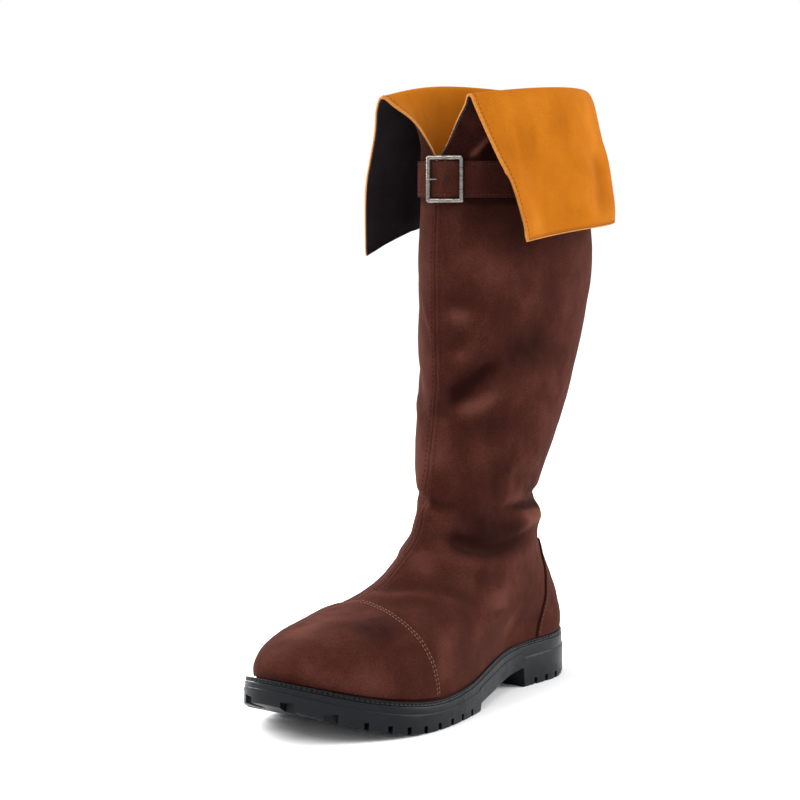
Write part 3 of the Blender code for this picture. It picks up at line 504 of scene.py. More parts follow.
def belt_path(turn, offset):
    """Point round the belt's level at a distance off the shaft; turn as u on the upper."""
    middle = TOP_ROW - 0.5
    point = upper_point(turn, np.full_like(turn, middle))
    step = 0.002
    ahead = upper_point(turn + step, np.full_like(turn, middle))
    behind = upper_point(turn - step, np.full_like(turn, middle))
    tangent = (ahead - behind)[:, :2]
    normal = np.stack([tangent[:, 1], -tangent[:, 0]], 1)
    normal /= np.linalg.norm(normal, axis=1, keepdims=True)
    return point[:, :2] + np.asarray(offset)[:, None] * normal


def belt_turn_at(x):
    """Turn near the front at which the shaft's face lies this far to the outer side."""
    turns = np.linspace(-0.2, 0.2, 801)
    places = belt_path(turns, np.zeros(len(turns)))[:, 0]
    return float(np.interp(x, places, turns))


def buckle_frame_axes():
    """Middle of the shaft's face behind the buckle, and its directions along and out of it."""
    turn = belt_turn_at(BUCKLE_SHIFT)
    ends = belt_path(np.array([turn - 0.004, turn, turn + 0.004]), np.zeros(3))
    along = ends[2] - ends[0]
    along /= np.linalg.norm(along)
    outward = np.array([along[1], -along[0]])
    return ends[1], along, outward


def strap_offset(over):
    """Distance of the free end's inner face off the shaft, by its turn."""
    edge = BUCKLE_WIDTH / 2
    bar = belt_turn_at(BUCKLE_SHIFT)
    lap_from = belt_turn_at(BUCKLE_SHIFT + edge + 0.014)
    lap_to = belt_turn_at(BUCKLE_SHIFT + edge)
    lift = np.clip((lap_from - over) / (lap_from - lap_to), 0, 1)
    lift = lift**2 * (3 - 2 * lift) * (STRAP_THICK + GAP)
    hump = np.exp(-(((over - bar) / (0.50 * (lap_to - bar))) ** 2)) * (CENTRE_BAR + GAP)
    return STRAP_SEAT + lift + hump


def frame_depths():
    """Distances off the shaft's face: frame's back, frame's front, centre bar's middle."""
    middle, along, outward = buckle_frame_axes()
    turns = np.linspace(belt_turn_at(-CALF_WIDTH / 4), belt_turn_at(CALF_WIDTH / 4), 400)
    outer = belt_path(turns, strap_offset(turns) + STRAP_THICK) - middle
    places, heights = outer @ along, outer @ outward
    under_bars = np.abs(places) > BUCKLE_WIDTH / 2 - BUCKLE_BAR
    bar_middle = STRAP_SEAT + STRAP_THICK + GAP + CENTRE_BAR / 2
    back = max(float(heights[under_bars].max()) + GAP, bar_middle - BUCKLE_THICK / 2)
    return back, back + BUCKLE_THICK, bar_middle


def buckle_spot(place, off, z):
    """World point from a place along the strap, a distance off the shaft and a height."""
    middle, along, outward = buckle_frame_axes()
    flat = middle + along * place + outward * off
    return (float(flat[0]), float(flat[1]), STRAP_HEIGHT + z)


# Folds of the suede, as soft ridges and troughs along short paths on the upper
# columns: height, negative for a trough; half width; points as turn round the section and row
FOLDS = (
    (-0.0034, 0.0038, ((0.19, 10.05), (0.23, 9.90), (0.28, 9.85), (0.34, 9.70), (0.39, 9.60))),
    (0.0010, 0.0065, ((0.14, 10.9), (0.22, 10.7), (0.30, 10.5), (0.35, 10.9))),
    (-0.0016, 0.0040, ((0.28, 10.55), (0.33, 10.45), (0.38, 10.40), (0.44, 10.45), (0.50, 10.50))),
    (0.0030, 0.0055, ((0.24, 9.15), (0.28, 9.00), (0.33, 8.98), (0.39, 8.90))),
    (-0.0040, 0.0048, (
        (0.09, 8.75), (0.13, 8.25), (0.17, 8.00), (0.21, 7.90),
        (0.26, 8.05), (0.32, 8.30), (0.39, 8.00),
    )),
    (-0.0018, 0.0060, ((0.10, 9.65), (0.14, 9.35), (0.18, 9.20))),
    (-0.0016, 0.0060, ((0.18, 9.15), (0.22, 8.85), (0.27, 8.55))),
    (0.0020, 0.0060, ((0.07, 8.20), (0.12, 7.65), (0.17, 7.35), (0.22, 7.20), (0.28, 7.40), (0.34, 7.70))),
    (0.0010, 0.0060, ((0.05, 9.2), (0.09, 9.1), (0.14, 8.8))),
    (-0.0014, 0.0055, ((0.21, 11.70), (0.25, 11.55), (0.29, 11.45), (0.33, 11.2))),
    (0.0012, 0.0070, ((0.20, 12.30), (0.26, 12.10), (0.31, 12.00))),
    (-0.0032, 0.0034, (
        (-0.14, 10.95), (-0.09, 10.90), (-0.05, 10.78), (0.0, 10.72),
        (0.03, 10.55), (0.07, 10.30), (0.11, 10.15),
    )),
    (0.0014, 0.0050, ((-0.08, 10.05), (-0.03, 9.90), (0.02, 9.80), (0.06, 9.60))),
    (0.0012, 0.0055, ((-0.07, 11.45), (-0.02, 11.35), (0.03, 11.20))),
    (-0.0048, 0.0060, ((0.035, 13.55), (0.060, 13.75), (0.085, 14.00), (0.115, 14.25), (0.145, 14.42))),
    (-0.0022, 0.0110, ((0.14, 14.40), (0.19, 14.55), (0.24, 14.45), (0.29, 14.20))),
    (0.0032, 0.0055, ((0.045, 13.30), (0.080, 13.45), (0.110, 13.62), (0.140, 13.88))),
    (0.0016, 0.0060, ((0.045, 14.25), (0.065, 14.45), (0.090, 14.75))),
    (-0.0026, 0.0110, ((0.09, 12.85), (0.14, 13.00), (0.19, 13.15), (0.24, 13.10))),
    (0.0018, 0.0100, ((0.08, 12.35), (0.13, 12.45), (0.19, 12.55))),
    (-0.0015, 0.0055, ((0.035, 14.55), (0.055, 14.70), (0.080, 14.85))),
    (0.0017, 0.0050, ((0.030, 15.12), (0.060, 15.17), (0.090, 15.12))),
    (-0.0014, 0.0045, ((0.030, 15.40), (0.060, 15.42), (0.090, 15.36))),
    (0.0009, 0.0025, ((-0.060, 15.55), (-0.035, 15.20), (-0.012, 14.85), (-0.004, 14.60))),
    (0.0012, 0.0120, ((0.10, 16.0), (0.16, 15.6), (0.21, 15.1))),
    (-0.0012, 0.0090, ((0.16, 16.2), (0.21, 15.8), (0.26, 15.3))),
    (-0.0014, 0.0080, ((0.36, 13.4), (0.42, 13.1), (0.50, 13.0), (0.57, 13.2))),
    (-0.0012, 0.0080, ((0.40, 12.0), (0.46, 11.8), (0.54, 11.8), (0.60, 12.0))),
    (-0.0022, 0.0042, ((0.42, 9.65), (0.47, 9.55), (0.53, 9.55), (0.58, 9.70))),
    (0.0018, 0.0050, ((0.42, 9.05), (0.47, 8.95), (0.53, 8.95), (0.58, 9.05))),
    (-0.0016, 0.0042, ((0.43, 8.45), (0.48, 8.35), (0.54, 8.35), (0.58, 8.45))),
    (-0.0030, 0.0042, ((0.60, 9.75), (0.67, 9.90), (0.73, 9.95), (0.79, 10.1))),
    (0.0026, 0.0055, ((0.61, 9.00), (0.67, 9.05), (0.73, 9.15), (0.77, 9.30))),
    (-0.0036, 0.0050, ((0.61, 8.20), (0.67, 8.25), (0.73, 8.00), (0.79, 7.95), (0.85, 8.25), (0.90, 8.70))),
    (0.0018, 0.0060, ((0.66, 7.60), (0.72, 7.35), (0.79, 7.25), (0.86, 7.60), (0.92, 8.20))),
    (-0.0014, 0.0065, ((0.960, 13.40), (0.925, 13.80), (0.890, 14.15), (0.850, 14.35))),
    (0.0010, 0.0060, ((0.950, 13.10), (0.915, 13.35), (0.880, 13.65))),
    (-0.0016, 0.0100, ((0.84, 12.7), (0.79, 12.9), (0.74, 12.9))),
    (-0.0012, 0.0060, ((0.91, 15.1), (0.87, 15.3), (0.82, 15.2))),
    (0.0013, 0.0075, ((0.22, 6.6), (0.25, 5.6), (0.245, 4.6), (0.235, 3.4))),
    (-0.0010, 0.0070, ((0.18, 6.9), (0.20, 6.0), (0.205, 5.0), (0.205, 4.0))),
    (-0.0010, 0.0060, ((-0.07, 6.9), (0.0, 6.75), (0.08, 6.75), (0.15, 6.4))),
    (0.0009, 0.0055, ((-0.07, 6.45), (0.02, 6.35), (0.10, 6.30), (0.15, 5.9))),
    (-0.0010, 0.0060, ((0.75, 6.5), (0.77, 5.4), (0.78, 4.4))),
    (0.0010, 0.0060, ((0.80, 6.6), (0.82, 5.6), (0.83, 4.8))),
)

# Patches of nap tone, partly real variation and partly painted shade in creases and painted highlight on
# ridges: strength, negative for darker; half width; points as above
UPPER_NAP_AND_PAINTED_LIGHT = (
    (-0.55, 0.016, ((0.06, 4.7), (0.10, 4.0), (0.13, 3.0))),
    (0.50, 0.010, ((0.00, 2.8), (-0.01, 4.0), (-0.02, 5.2))),
    (0.35, 0.013, ((0.03, 1.2), (0.09, 1.0), (0.14, 0.9))),
    (-0.40, 0.008, ((0.19, 6.8), (0.22, 6.7))),
    (0.45, 0.011, ((0.25, 6.3), (0.27, 5.5), (0.25, 4.4))),
    (-0.45, 0.009, ((0.26, 4.2), (0.27, 3.4))),
    (0.40, 0.008, ((0.24, 3.4), (0.235, 2.2))),
    (0.30, 0.010, ((0.30, 3.0), (0.32, 1.6))),
    (0.40, 0.007, ((0.20, 3.6), (0.19, 2.2), (0.195, 1.0))),
    (-0.30, 0.012, ((0.17, 5.9), (0.16, 6.6))),
    (0.30, 0.010, ((0.08, 7.2), (0.05, 7.9))),
    (-0.60, 0.012, ((0.10, 8.8), (0.17, 8.4), (0.24, 8.5), (0.30, 8.6))),
    (0.75, 0.006, ((0.28, 9.1), (0.32, 9.0), (0.36, 9.0))),
    (-1.1, 0.0035, ((0.26, 9.85), (0.31, 9.78), (0.35, 9.68), (0.40, 9.58))),
    (0.7, 0.0050, ((0.27, 9.35), (0.32, 9.25), (0.37, 9.20))),
    (-0.8, 0.0050, ((0.09, 8.45), (0.14, 8.00), (0.20, 7.80), (0.26, 7.95))),
    (-0.6, 0.0040, ((0.27, 10.95), (0.31, 10.75), (0.34, 10.80))),
    (0.8, 0.0030, ((-0.02, 10.95), (0.00, 10.60), (0.005, 10.20))),
    (0.30, 0.009, ((0.22, 10.4), (0.28, 10.3))),
    (-0.45, 0.010, ((0.04, 13.6), (0.08, 14.0), (0.13, 14.4))),
    (0.65, 0.006, ((0.06, 13.35), (0.10, 13.5), (0.13, 13.75))),
    (0.60, 0.005, ((0.04, 15.15), (0.08, 15.15))),
    (0.30, 0.007, ((0.06, 14.4), (0.07, 14.55))),
    (-0.35, 0.014, ((0.15, 14.5), (0.20, 14.6), (0.26, 14.4))),
    (-0.25, 0.016, ((0.13, 13.1), (0.18, 13.0))),
    (-0.30, 0.016, ((0.22, 11.6), (0.17, 11.6))),
    (0.28, 0.014, ((0.25, 13.5), (0.24, 12.6))),
    (0.35, 0.010, ((0.02, 11.9), (0.03, 12.8), (0.03, 13.3))),
    (0.35, 0.012, ((0.04, 16.2), (0.10, 16.0), (0.14, 15.7))),
    (-0.35, 0.018, ((0.06, 16.9), (0.14, 16.7), (0.20, 16.3))),
    (-0.20, 0.020, ((0.12, 15.2), (0.17, 15.0))),
    (0.25, 0.016, ((0.26, 15.8), (0.26, 15.0))),
    (-0.40, 0.014, ((0.76, 8.5), (0.70, 8.5))),
    (0.40, 0.010, ((0.72, 9.1), (0.66, 9.0))),
    (0.35, 0.014, ((0.80, 5.6), (0.77, 4.4))),
    (-0.35, 0.014, ((0.70, 5.0), (0.66, 3.6))),
    (0.30, 0.016, ((0.45, 6.4), (0.50, 5.0))),
    (-0.30, 0.016, ((0.55, 14.6), (0.47, 13.8))),
    (0.30, 0.018, ((0.60, 12.5), (0.55, 13.0))),
    (-0.30, 0.018, ((0.70, 15.5), (0.76, 14.8))),
    (0.30, 0.018, ((0.86, 16.0), (0.80, 15.4))),
)

# Waves of the cuff. columns: height, half width, points as turn round the cuff and row
CUFF_FOLDS = (
    (-0.0032, 0.0120, ((0.285, 8.8), (0.295, 8.2), (0.300, 7.5))),
    (0.0026, 0.0130, ((0.235, 8.9), (0.240, 8.2), (0.245, 7.6))),
    (0.0020, 0.0120, ((0.340, 8.9), (0.345, 8.2), (0.345, 7.4))),
    (-0.0016, 0.0130, ((0.120, 9.0), (0.130, 8.3), (0.140, 7.4))),
    (0.0016, 0.0130, ((0.060, 9.0), (0.060, 8.3), (0.060, 7.6))),
    (-0.0018, 0.0150, ((0.46, 9.0), (0.46, 8.2), (0.46, 7.2))),
    (0.0020, 0.0140, ((0.53, 9.0), (0.53, 8.2), (0.53, 7.2))),
    (-0.0020, 0.0140, ((0.62, 9.0), (0.61, 8.2), (0.60, 7.2))),
    (0.0022, 0.0150, ((0.72, 9.0), (0.72, 8.2), (0.71, 7.2))),
    (-0.0020, 0.0140, ((0.82, 9.0), (0.81, 8.3), (0.80, 7.4))),
    (0.0018, 0.0120, ((0.92, 9.0), (0.92, 8.3), (0.92, 7.6))),
)

# Crease of the brown neck above the strap, columns as above, and its nap tone with painted highlight on the
# crease's ridge and painted shade beside it
NECK_FOLDS = (
    (0.0012, 0.0036, ((0.080, 1.35), (0.097, 1.85), (0.114, 2.45))),
    (-0.0012, 0.0040, ((0.100, 1.25), (0.114, 1.55), (0.122, 2.10))),
)
NECK_NAP_AND_PAINTED_LIGHT = (
    (1.9, 0.0022, ((0.078, 1.15), (0.095, 1.80), (0.112, 2.35))),
    (-1.0, 0.0045, ((0.104, 1.25), (0.114, 1.55), (0.120, 2.05))),
    (0.5, 0.0100, ((0.055, 2.6), (0.075, 2.9), (0.100, 3.1))),
)
# Patches of the flap's ochre side, partly nap tone and partly painted shade and highlight along the cuff's
# waves, columns as above
CUFF_NAP_AND_PAINTED_LIGHT = (
    (0.5, 0.014, ((0.10, 6.4), (0.16, 6.2), (0.22, 6.4))),
    (-0.5, 0.016, ((0.12, 7.3), (0.17, 7.4))),
    (0.6, 0.010, ((0.30, 6.4), (0.31, 7.2), (0.32, 8.0))),
    (-0.6, 0.010, ((0.285, 8.7), (0.30, 8.1), (0.31, 7.6))),
    (0.4, 0.014, ((0.08, 8.6), (0.14, 8.7))),
    (0.4, 0.014, ((0.22, 8.6), (0.24, 8.0))),
    (-0.4, 0.014, ((0.20, 6.9), (0.25, 7.2))),
    (-0.3, 0.014, ((0.42, 3.2), (0.46, 3.8))),
    (0.4, 0.012, ((0.55, 3.0), (0.58, 4.0))),
    (-0.4, 0.016, ((0.55, 7.0), (0.62, 7.6))),
    (0.4, 0.016, ((0.70, 7.6), (0.78, 7.0))),
    (0.3, 0.016, ((0.88, 7.2), (0.92, 8.2))),
)

# Colours, linear red, green, blue
BROWN_DARK = (0.014, 0.0036, 0.0026)
BROWN = (0.037, 0.0100, 0.0070)
BROWN_LIGHT = (0.090, 0.0300, 0.0215)
OCHRE_DARK = (0.250, 0.068, 0.0025)
OCHRE = (0.330, 0.098, 0.0040)
OCHRE_LIGHT = (0.410, 0.140, 0.0100)
# middle colour of the flap's turned-down back, which is brown suede: this near black is painted shade
FLAP_BACK_PAINTED_SHADE = (0.012, 0.0085, 0.0095)
RUBBER = (0.0038, 0.0047, 0.0062)
SILVER = (0.25, 0.230, 0.205)
THREAD_BROWN = (0.210, 0.092, 0.056)
THREAD_DARK = (0.075, 0.0250, 0.0160)
THREAD_OCHRE = (0.230, 0.075, 0.008)
# middle of the strap's holes: black as painted shade
HOLE_PAINTED_SHADE = (0.010, 0.010, 0.011)

# Details, in metres unless they say otherwise
TURN_STEP = 0.002         # step of the turn that slopes are measured over
CAP_THREAD_LIFT = 0.00008           # a stitch's middle, off the toe cap's face
COUNTER_THREAD_LIFT = 0.00005       # the same on the heel counter
SEAM_THREAD_LIFT = 0.00028          # beside the front seam
FACE_THREAD_LIFT = 0.00012          # on the cuff's lining and on the strap
EDGE_ROUND = 0.0009       # rounding of the overlays' edges
CAP_ROWS_IN = (0.0018, 0.0040)      # the toe cap's two stitch rows, in from its edge
COUNTER_ROW_IN = 0.0022   # the heel counter's stitch row, in from its edge
SEAM_ROW_OUT = 0.0030     # stitch rows beside the front seam
CUFF_ROW_IN = 0.0022      # the cuff's stitch row, in from the slit
STRAP_ROW_IN = 0.0021     # the strap's stitch rows, in from its edges
RIM_NECK = 0.0015         # how far the cuff's edge is rounded out along the neck
RIM_FLAP = 0.0009         # the same along the flap
BACK_ROWS_TURN = 0.0016 / 0.12      # the cuff's two rows at the back, off the middle, in turns
STRAP_PAINTED_SHADOW = 1.3         # painted shadow just under the strap
STRAP_PAINTED_SHADOW_REACH = 0.0035
FOLD_PAINTED_LIGHT = 90.0         # painted shade in fold troughs and painted highlight on fold ridges, for each metre of fold
NO_SEAM = 0.01            # seam distance of pieces without a seam

# Ring of a strap hole, from its rim to its middle; its inner rings are a black disc, painted shade for the
# hole. columns: radius, lift off the strap
HOLE_RINGS = (
    (0.00185, 0.00002), (0.00172, 0.00028), (0.00150, 0.00032),
    (0.00138, 0.00022), (0.00120, 0.00013), (0.00005, 0.00012),
)

# Side of the outsole, from the floor up. columns: share of the height, inset
SOLE_LEVELS = (
    (0.00, 0.0009), (0.02, 0.0004), (0.05, 0.0001), (0.09, 0.0), (0.40, 0.00015),
    (SIDE_BAND - 0.02, 0.0), (SIDE_BAND, 0.0002), (SIDE_BAND + 0.025, SIDE_STEP),
    (0.97, SIDE_STEP), (1.00, SIDE_STEP + 0.0003),
)

# Section of the welt, from its lower outer edge over the top. columns: inset, height over the
# seat, share of a dash's depth
WELT_EDGE = (
    (0.0002, GAP, 0.0), (0.0, 0.0006, 0.0), (0.0, 0.0009, 0.3), (0.0002, 0.0012, 0.9),
    (0.0002, 0.0022, 0.9), (0.0, 0.0024, 0.3), (0.0, WELT_HEIGHT - 0.0004, 0.0),
    (0.0003, WELT_HEIGHT - 0.0001, 0.0), (0.0008, WELT_HEIGHT + 0.00005, 0.0),
    (0.0013, WELT_HEIGHT, 0.0),
)
# Then inwards to the upper. columns: share of the way, height over the seat
WELT_TOP = (
    (0.18, WELT_HEIGHT - 0.0003), (0.30, WELT_HEIGHT - 0.0006), (0.70, WELT_HEIGHT - 0.0007),
    (1.0, WELT_HEIGHT - 0.0006), (1.0, GAP),
)
WELT_DASH = 0.0011        # depth of the dashes
WELT_DASH_PITCH = 0.0034


def make_mesh(name, points, faces, material=None, slots=None):
    """A smooth mesh object; material is one or a list, slots a material number per face."""
    mesh = bpy.data.meshes.new(name)
    faces = faces.tolist() if isinstance(faces, np.ndarray) else faces
    mesh.from_pydata(np.asarray(points, float).tolist(), [], faces)
    for item in material if isinstance(material, list) else [material]:
        mesh.materials.append(item)
    mesh.polygons.foreach_set("use_smooth", [True] * len(mesh.polygons))
    if slots is not None:
        mesh.polygons.foreach_set("material_index", np.asarray(slots, np.int32))
    mesh.update()
    item = bpy.data.objects.new(name, mesh)
    bpy.context.scene.collection.objects.link(item)
    return item


def place_piece(item, node=None):
    """Join a piece to the root body, and let it stand for a solid."""
    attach(item, "root")
    if node:
        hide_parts(node)


def set_value(item, name, values):
    layer = item.data.attributes.new(name, "FLOAT", "POINT")
    layer.data.foreach_set("value", np.asarray(values, np.float32).reshape(-1))


def grid_faces(rows, columns, closed=False, start=0, flip=False):
    """Faces of a grid of points, row by row."""
    low = np.arange(rows - 1)[:, None] * columns
    here = np.arange(columns if closed else columns - 1)[None, :]
    there = (here + 1) % columns
    faces = np.stack([low + here, low + there, low + columns + there, low + columns + here], -1)
    faces = faces.reshape(-1, 4) + start
    return faces[:, ::-1] if flip else faces


def tube_faces(rings, count):
    """Faces of closed rings, each joined to the next and the last one to the first."""
    last = (rings - 1) * count
    here = np.arange(count)
    there = (here + 1) % count
    closing = np.stack([last + here, last + there, there, here], -1)
    return np.concatenate([grid_faces(rings, count, True), closing])


def unit(vectors):
    return vectors / np.maximum(np.linalg.norm(vectors, axis=-1, keepdims=True), 1e-12)


def circle(count, radius=1.0):
    """Pairs of cosine and sine round a circle."""
    return [
        (radius * math.cos(2 * math.pi * k / count), radius * math.sin(2 * math.pi * k / count))
        for k in range(count)
    ]


def path_field(points, surface, table):
    """Sum of soft ridges and troughs of a table at the points of a grid."""
    flat = points.reshape(-1, 3)
    total = np.zeros(len(flat))
    for height, width, path in table:
        path = np.asarray(path, float)
        turns = smooth_rows(path, np.linspace(0, len(path) - 1, 24 * (len(path) - 1) + 1))
        line = surface(turns[:, 0], turns[:, 1])
        low, high = line.min(0) - 3 * width, line.max(0) + 3 * width
        near = np.flatnonzero(np.all((flat > low) & (flat < high), axis=1))
        if not len(near):
            continue
        gap = np.linalg.norm(flat[near, None] - line[None], axis=-1)
        along = gap.argmin(1) / (len(line) - 1)
        fade = np.clip(4.2 * along * (1 - along) + 0.12, 0, 1)
        total[near] += height * fade * np.exp(-((gap.min(1) / width) ** 2))
    return total.reshape(points.shape[:-1])


def ripple(points, size, seed):
    """Slow even waviness between -1 and 1."""
    total = 0
    for k in range(4):
        angle = seed * 1.7 + k * 2.4
        lean = np.array([math.cos(angle), math.sin(angle), 0.9 * math.sin(seed + 1.3 * k)])
        total = total + np.sin(points @ lean * (2 * math.pi / size) * (1 + 0.35 * k) + seed + k)
    return total / 4


def suede_rise(points, v):
    """How far the upper's face stands off the plain surface; also the folds alone."""
    calm = np.clip((17.0 - v) / 0.7, 0, 1) * np.clip(v / 0.8, 0, 1)
    folds = path_field(points, upper_point, FOLDS)
    waves = 0.00035 * ripple(points, 0.055, 1.0) + 0.00018 * ripple(points, 0.021, 2.0)
    return calm * (folds + waves), folds


def seam_turn(v):
    """Turn at which the front seam runs: at the middle, a little inwards over the instep."""
    return -0.050 * np.clip((7.9 - v) / 1.9, 0, 1)


def turn_pace(u, v, behind=TURN_STEP):
    """Metres round the upper for each turn, from a little behind a place to a step ahead."""
    span = upper_point(u + TURN_STEP, v) - upper_point(u - behind, v)
    return np.linalg.norm(span, axis=-1) / (TURN_STEP + behind)


def dressed(u, v, off=0.0):
    """Upper's face with its folds, at a distance off it; also its normals and the folds."""
    u, v = np.broadcast_arrays(np.asarray(u, float), np.asarray(v, float))
    plain, normal = upper_point(u, v), upper_normal(u, v)
    rise, folds = suede_rise(plain, v)
    return plain + (rise + off)[..., None] * normal, normal, folds


def on_line(values, way, at):
    """Values of a line's points at distances along it."""
    return np.stack([np.interp(at, way, values[:, k]) for k in range(3)], -1)


def stitches(name, lines, pitch, length, radius, material):
    """One mesh of many small stitches along lines of (points, normals)."""
    rings = ((-0.5, 0.35, -0.9), (-0.34, 0.9, 0.0), (0.34, 0.9, 0.0), (0.5, 0.35, -0.9))
    sides = 5
    points = []
    for line, normals in lines:
        way = np.concatenate([[0], np.cumsum(np.linalg.norm(np.diff(line, axis=0), axis=1))])
        places = np.arange(pitch * 0.6, way[-1] - pitch * 0.4, pitch)
        spot = on_line(line, way, places)
        ahead, behind = (on_line(line, way, places + half) for half in (length / 2, -length / 2))
        up, along = unit(on_line(normals, way, places)), unit(ahead - behind)
        side = np.cross(up, along)
        stack = [
            spot + along * share * length + up * radius * sink + radius * size * (a * side + b * up)
            for share, size, sink in rings for a, b in circle(sides)
        ]
        points.append(np.stack(stack, 1).reshape(-1, 3))
    points = np.concatenate(points)
    single = grid_faces(len(rings), sides, True)
    starts = np.arange(0, len(points), len(rings) * sides)
    faces = (single[None] + starts[:, None, None]).reshape(-1, 4)
    place_piece(make_mesh(name, points, faces, material))


# Materials
SOCKETS = {
    "specular_ior_level": "Specular IOR Level", "sheen_weight": "Sheen Weight",
    "sheen_roughness": "Sheen Roughness", "metallic": "Metallic",
}


class Nodes:
    """A material's node tree, with short ways to add and join nodes."""

    def __init__(self, name):
        self.material = bpy.data.materials.new(name)
        self.material.use_nodes = True
        self.tree = self.material.node_tree
        self.shader = self.tree.nodes["Principled BSDF"]
        self.place = self.add("ShaderNodeTexCoord").outputs["Object"]

    def add(self, kind, **settings):
        item = self.tree.nodes.new(kind)
        for key, value in settings.items():
            setattr(item, key, value)
        return item

    def feed(self, socket, value):
        """Set a socket to a number or a colour, or join another node's output to it."""
        if isinstance(value, tuple):
            socket.default_value = (*value, 1.0)
        elif isinstance(value, (int, float)):
            socket.default_value = value
        else:
            self.tree.links.new(value, socket)

    def noise(self, scale, detail=3.0, stretch=None, rough=0.5):
        item = self.add("ShaderNodeTexNoise")
        for key, value in (("Scale", scale), ("Detail", detail), ("Roughness", rough)):
            item.inputs[key].default_value = value
        place = self.place
        if stretch:
            bend = self.add("ShaderNodeMapping")
            bend.inputs["Scale"].default_value = stretch
            self.feed(bend.inputs["Vector"], place)
            place = bend.outputs["Vector"]
        self.feed(item.inputs["Vector"], place)
        return item.outputs["Fac"]

    def value(self, name):
        return self.add("ShaderNodeAttribute", attribute_name=name).outputs["Fac"]

    def math(self, kind, *values):
        item = self.add("ShaderNodeMath", operation=kind)
        for socket, value in zip(item.inputs, values):
            self.feed(socket, value)
        return item.outputs[0]

    def range(self, source, low, high, to_low=0.0, to_high=1.0):
        item = self.add("ShaderNodeMapRange", interpolation_type="SMOOTHSTEP")
        keys = ("From Min", "From Max", "To Min", "To Max", "Value")
        for key, value in zip(keys, (low, high, to_low, to_high, source)):
            self.feed(item.inputs[key], value)
        return item.outputs["Result"]

    def ramp(self, source, *stops):
        item = self.add("ShaderNodeValToRGB")
        elements = item.color_ramp.elements
        while len(elements) < len(stops):
            elements.new(0.5)
        for element, (place, color) in zip(elements, stops):
            element.position = place
            element.color = (*color, 1.0)
        self.feed(item.inputs["Fac"], source)
        return item.outputs["Color"]

    def mix(self, share, first, second):
        item = self.add("ShaderNodeMix", data_type="RGBA")
        colors = [socket for socket in item.inputs if socket.type == "RGBA"]
        factor = [socket for socket in item.inputs if socket.type == "VALUE"][0]
        for socket, value in ((factor, share), (colors[0], first), (colors[1], second)):
            self.feed(socket, value)
        return [socket for socket in item.outputs if socket.type == "RGBA"][0]

    def bump(self, source, strength, depth, after=None):
        item = self.add("ShaderNodeBump")
        item.inputs["Strength"].default_value = strength
        item.inputs["Distance"].default_value = depth
        self.feed(item.inputs["Height"], source)
        if after is not None:
            self.feed(item.inputs["Normal"], after)
        return item.outputs["Normal"]

    def finish(self, color, roughness, normal=None, **sockets):
        self.feed(self.shader.inputs["Base Color"], color)
        self.feed(self.shader.inputs["Roughness"], roughness)
        if normal is not None:
            self.feed(self.shader.inputs["Normal"], normal)
        for key, value in sockets.items():
            self.shader.inputs[SOCKETS[key]].default_value = value
        return self.material


def suede(name, colors, sheen, tint, seam=False, nap_and_painted_light=False):
    """Suede nap: slow blotches, stroke marks, fine grain and a soft sheen; when asked, an attribute adds
    painted shade and painted highlight to the nap's tone.
    """
    dark, middle, light = colors
    n = Nodes(name)
    slow = n.noise(26.0, 3.0, rough=0.55)
    strokes = n.noise(75.0, 4.0, stretch=(1.0, 1.0, 0.75), rough=0.6)
    grain = n.noise(950.0, 2.0)
    speck = n.noise(2600.0, 1.0)
    tone = n.math("MULTIPLY_ADD", slow, 0.44, 0.15)
    tone = n.math("MULTIPLY_ADD", strokes, 0.26, tone)
    tone = n.math("MULTIPLY_ADD", n.math("SUBTRACT", grain, 0.5), 0.35, tone)
    # the attribute's tone holds nap variation together with painted shade and painted highlight
    if nap_and_painted_light:
        tone = n.math("MULTIPLY_ADD", n.value("nap_and_painted_light"), 0.42, tone)
    color = n.ramp(tone, (0.22, dark), (0.50, middle), (0.86, light))
    rough = n.range(grain, 0.3, 0.7, 0.86, 1.0)
    height = n.math("MULTIPLY_ADD", speck, 0.5, grain)
    height = n.math("MULTIPLY_ADD", strokes, 0.7, height)
    normal = n.bump(height, 0.55, 0.00045)
    if seam:
        line = n.range(n.value("seam"), 0.00015, 0.0009)
        color = n.mix(n.math("MULTIPLY", n.math("SUBTRACT", 1.0, line), 0.45), color, dark)
        normal = n.bump(line, 0.3, 0.0004, normal)
    n.shader.inputs["Sheen Tint"].default_value = (*tint, 1.0)
    return n.finish(
        color, rough, normal, specular_ior_level=0.03, sheen_weight=sheen, sheen_roughness=0.42,
    )


def cut_edge(name, dark, light, **sockets):
    """Raw edge of the suede, fine fibres between two colours."""
    n = Nodes(name)
    grain = n.noise(1400.0, 3.0)
    color = n.ramp(grain, (0.3, dark), (0.7, light))
    return n.finish(color, 0.9, n.bump(grain, 0.5, 0.0003), **sockets)


def rubber():
    n = Nodes("rubber_black_moulded")
    slow = n.noise(38.0, 4.0, rough=0.6)
    fine = n.noise(1500.0, 2.0)
    spots = n.noise(210.0, 5.0, rough=0.7)
    dust = n.range(n.math("MULTIPLY_ADD", spots, 0.5, n.math("MULTIPLY", slow, 0.5)), 0.46, 0.66)
    color = n.mix(n.math("MULTIPLY", dust, 0.32), RUBBER, (0.012, 0.014, 0.017))
    normal = n.bump(slow, 0.12, 0.0012, n.bump(fine, 0.35, 0.00022))
    return n.finish(color, n.range(dust, 0.0, 1.0, 0.38, 0.58), normal, specular_ior_level=0.14)


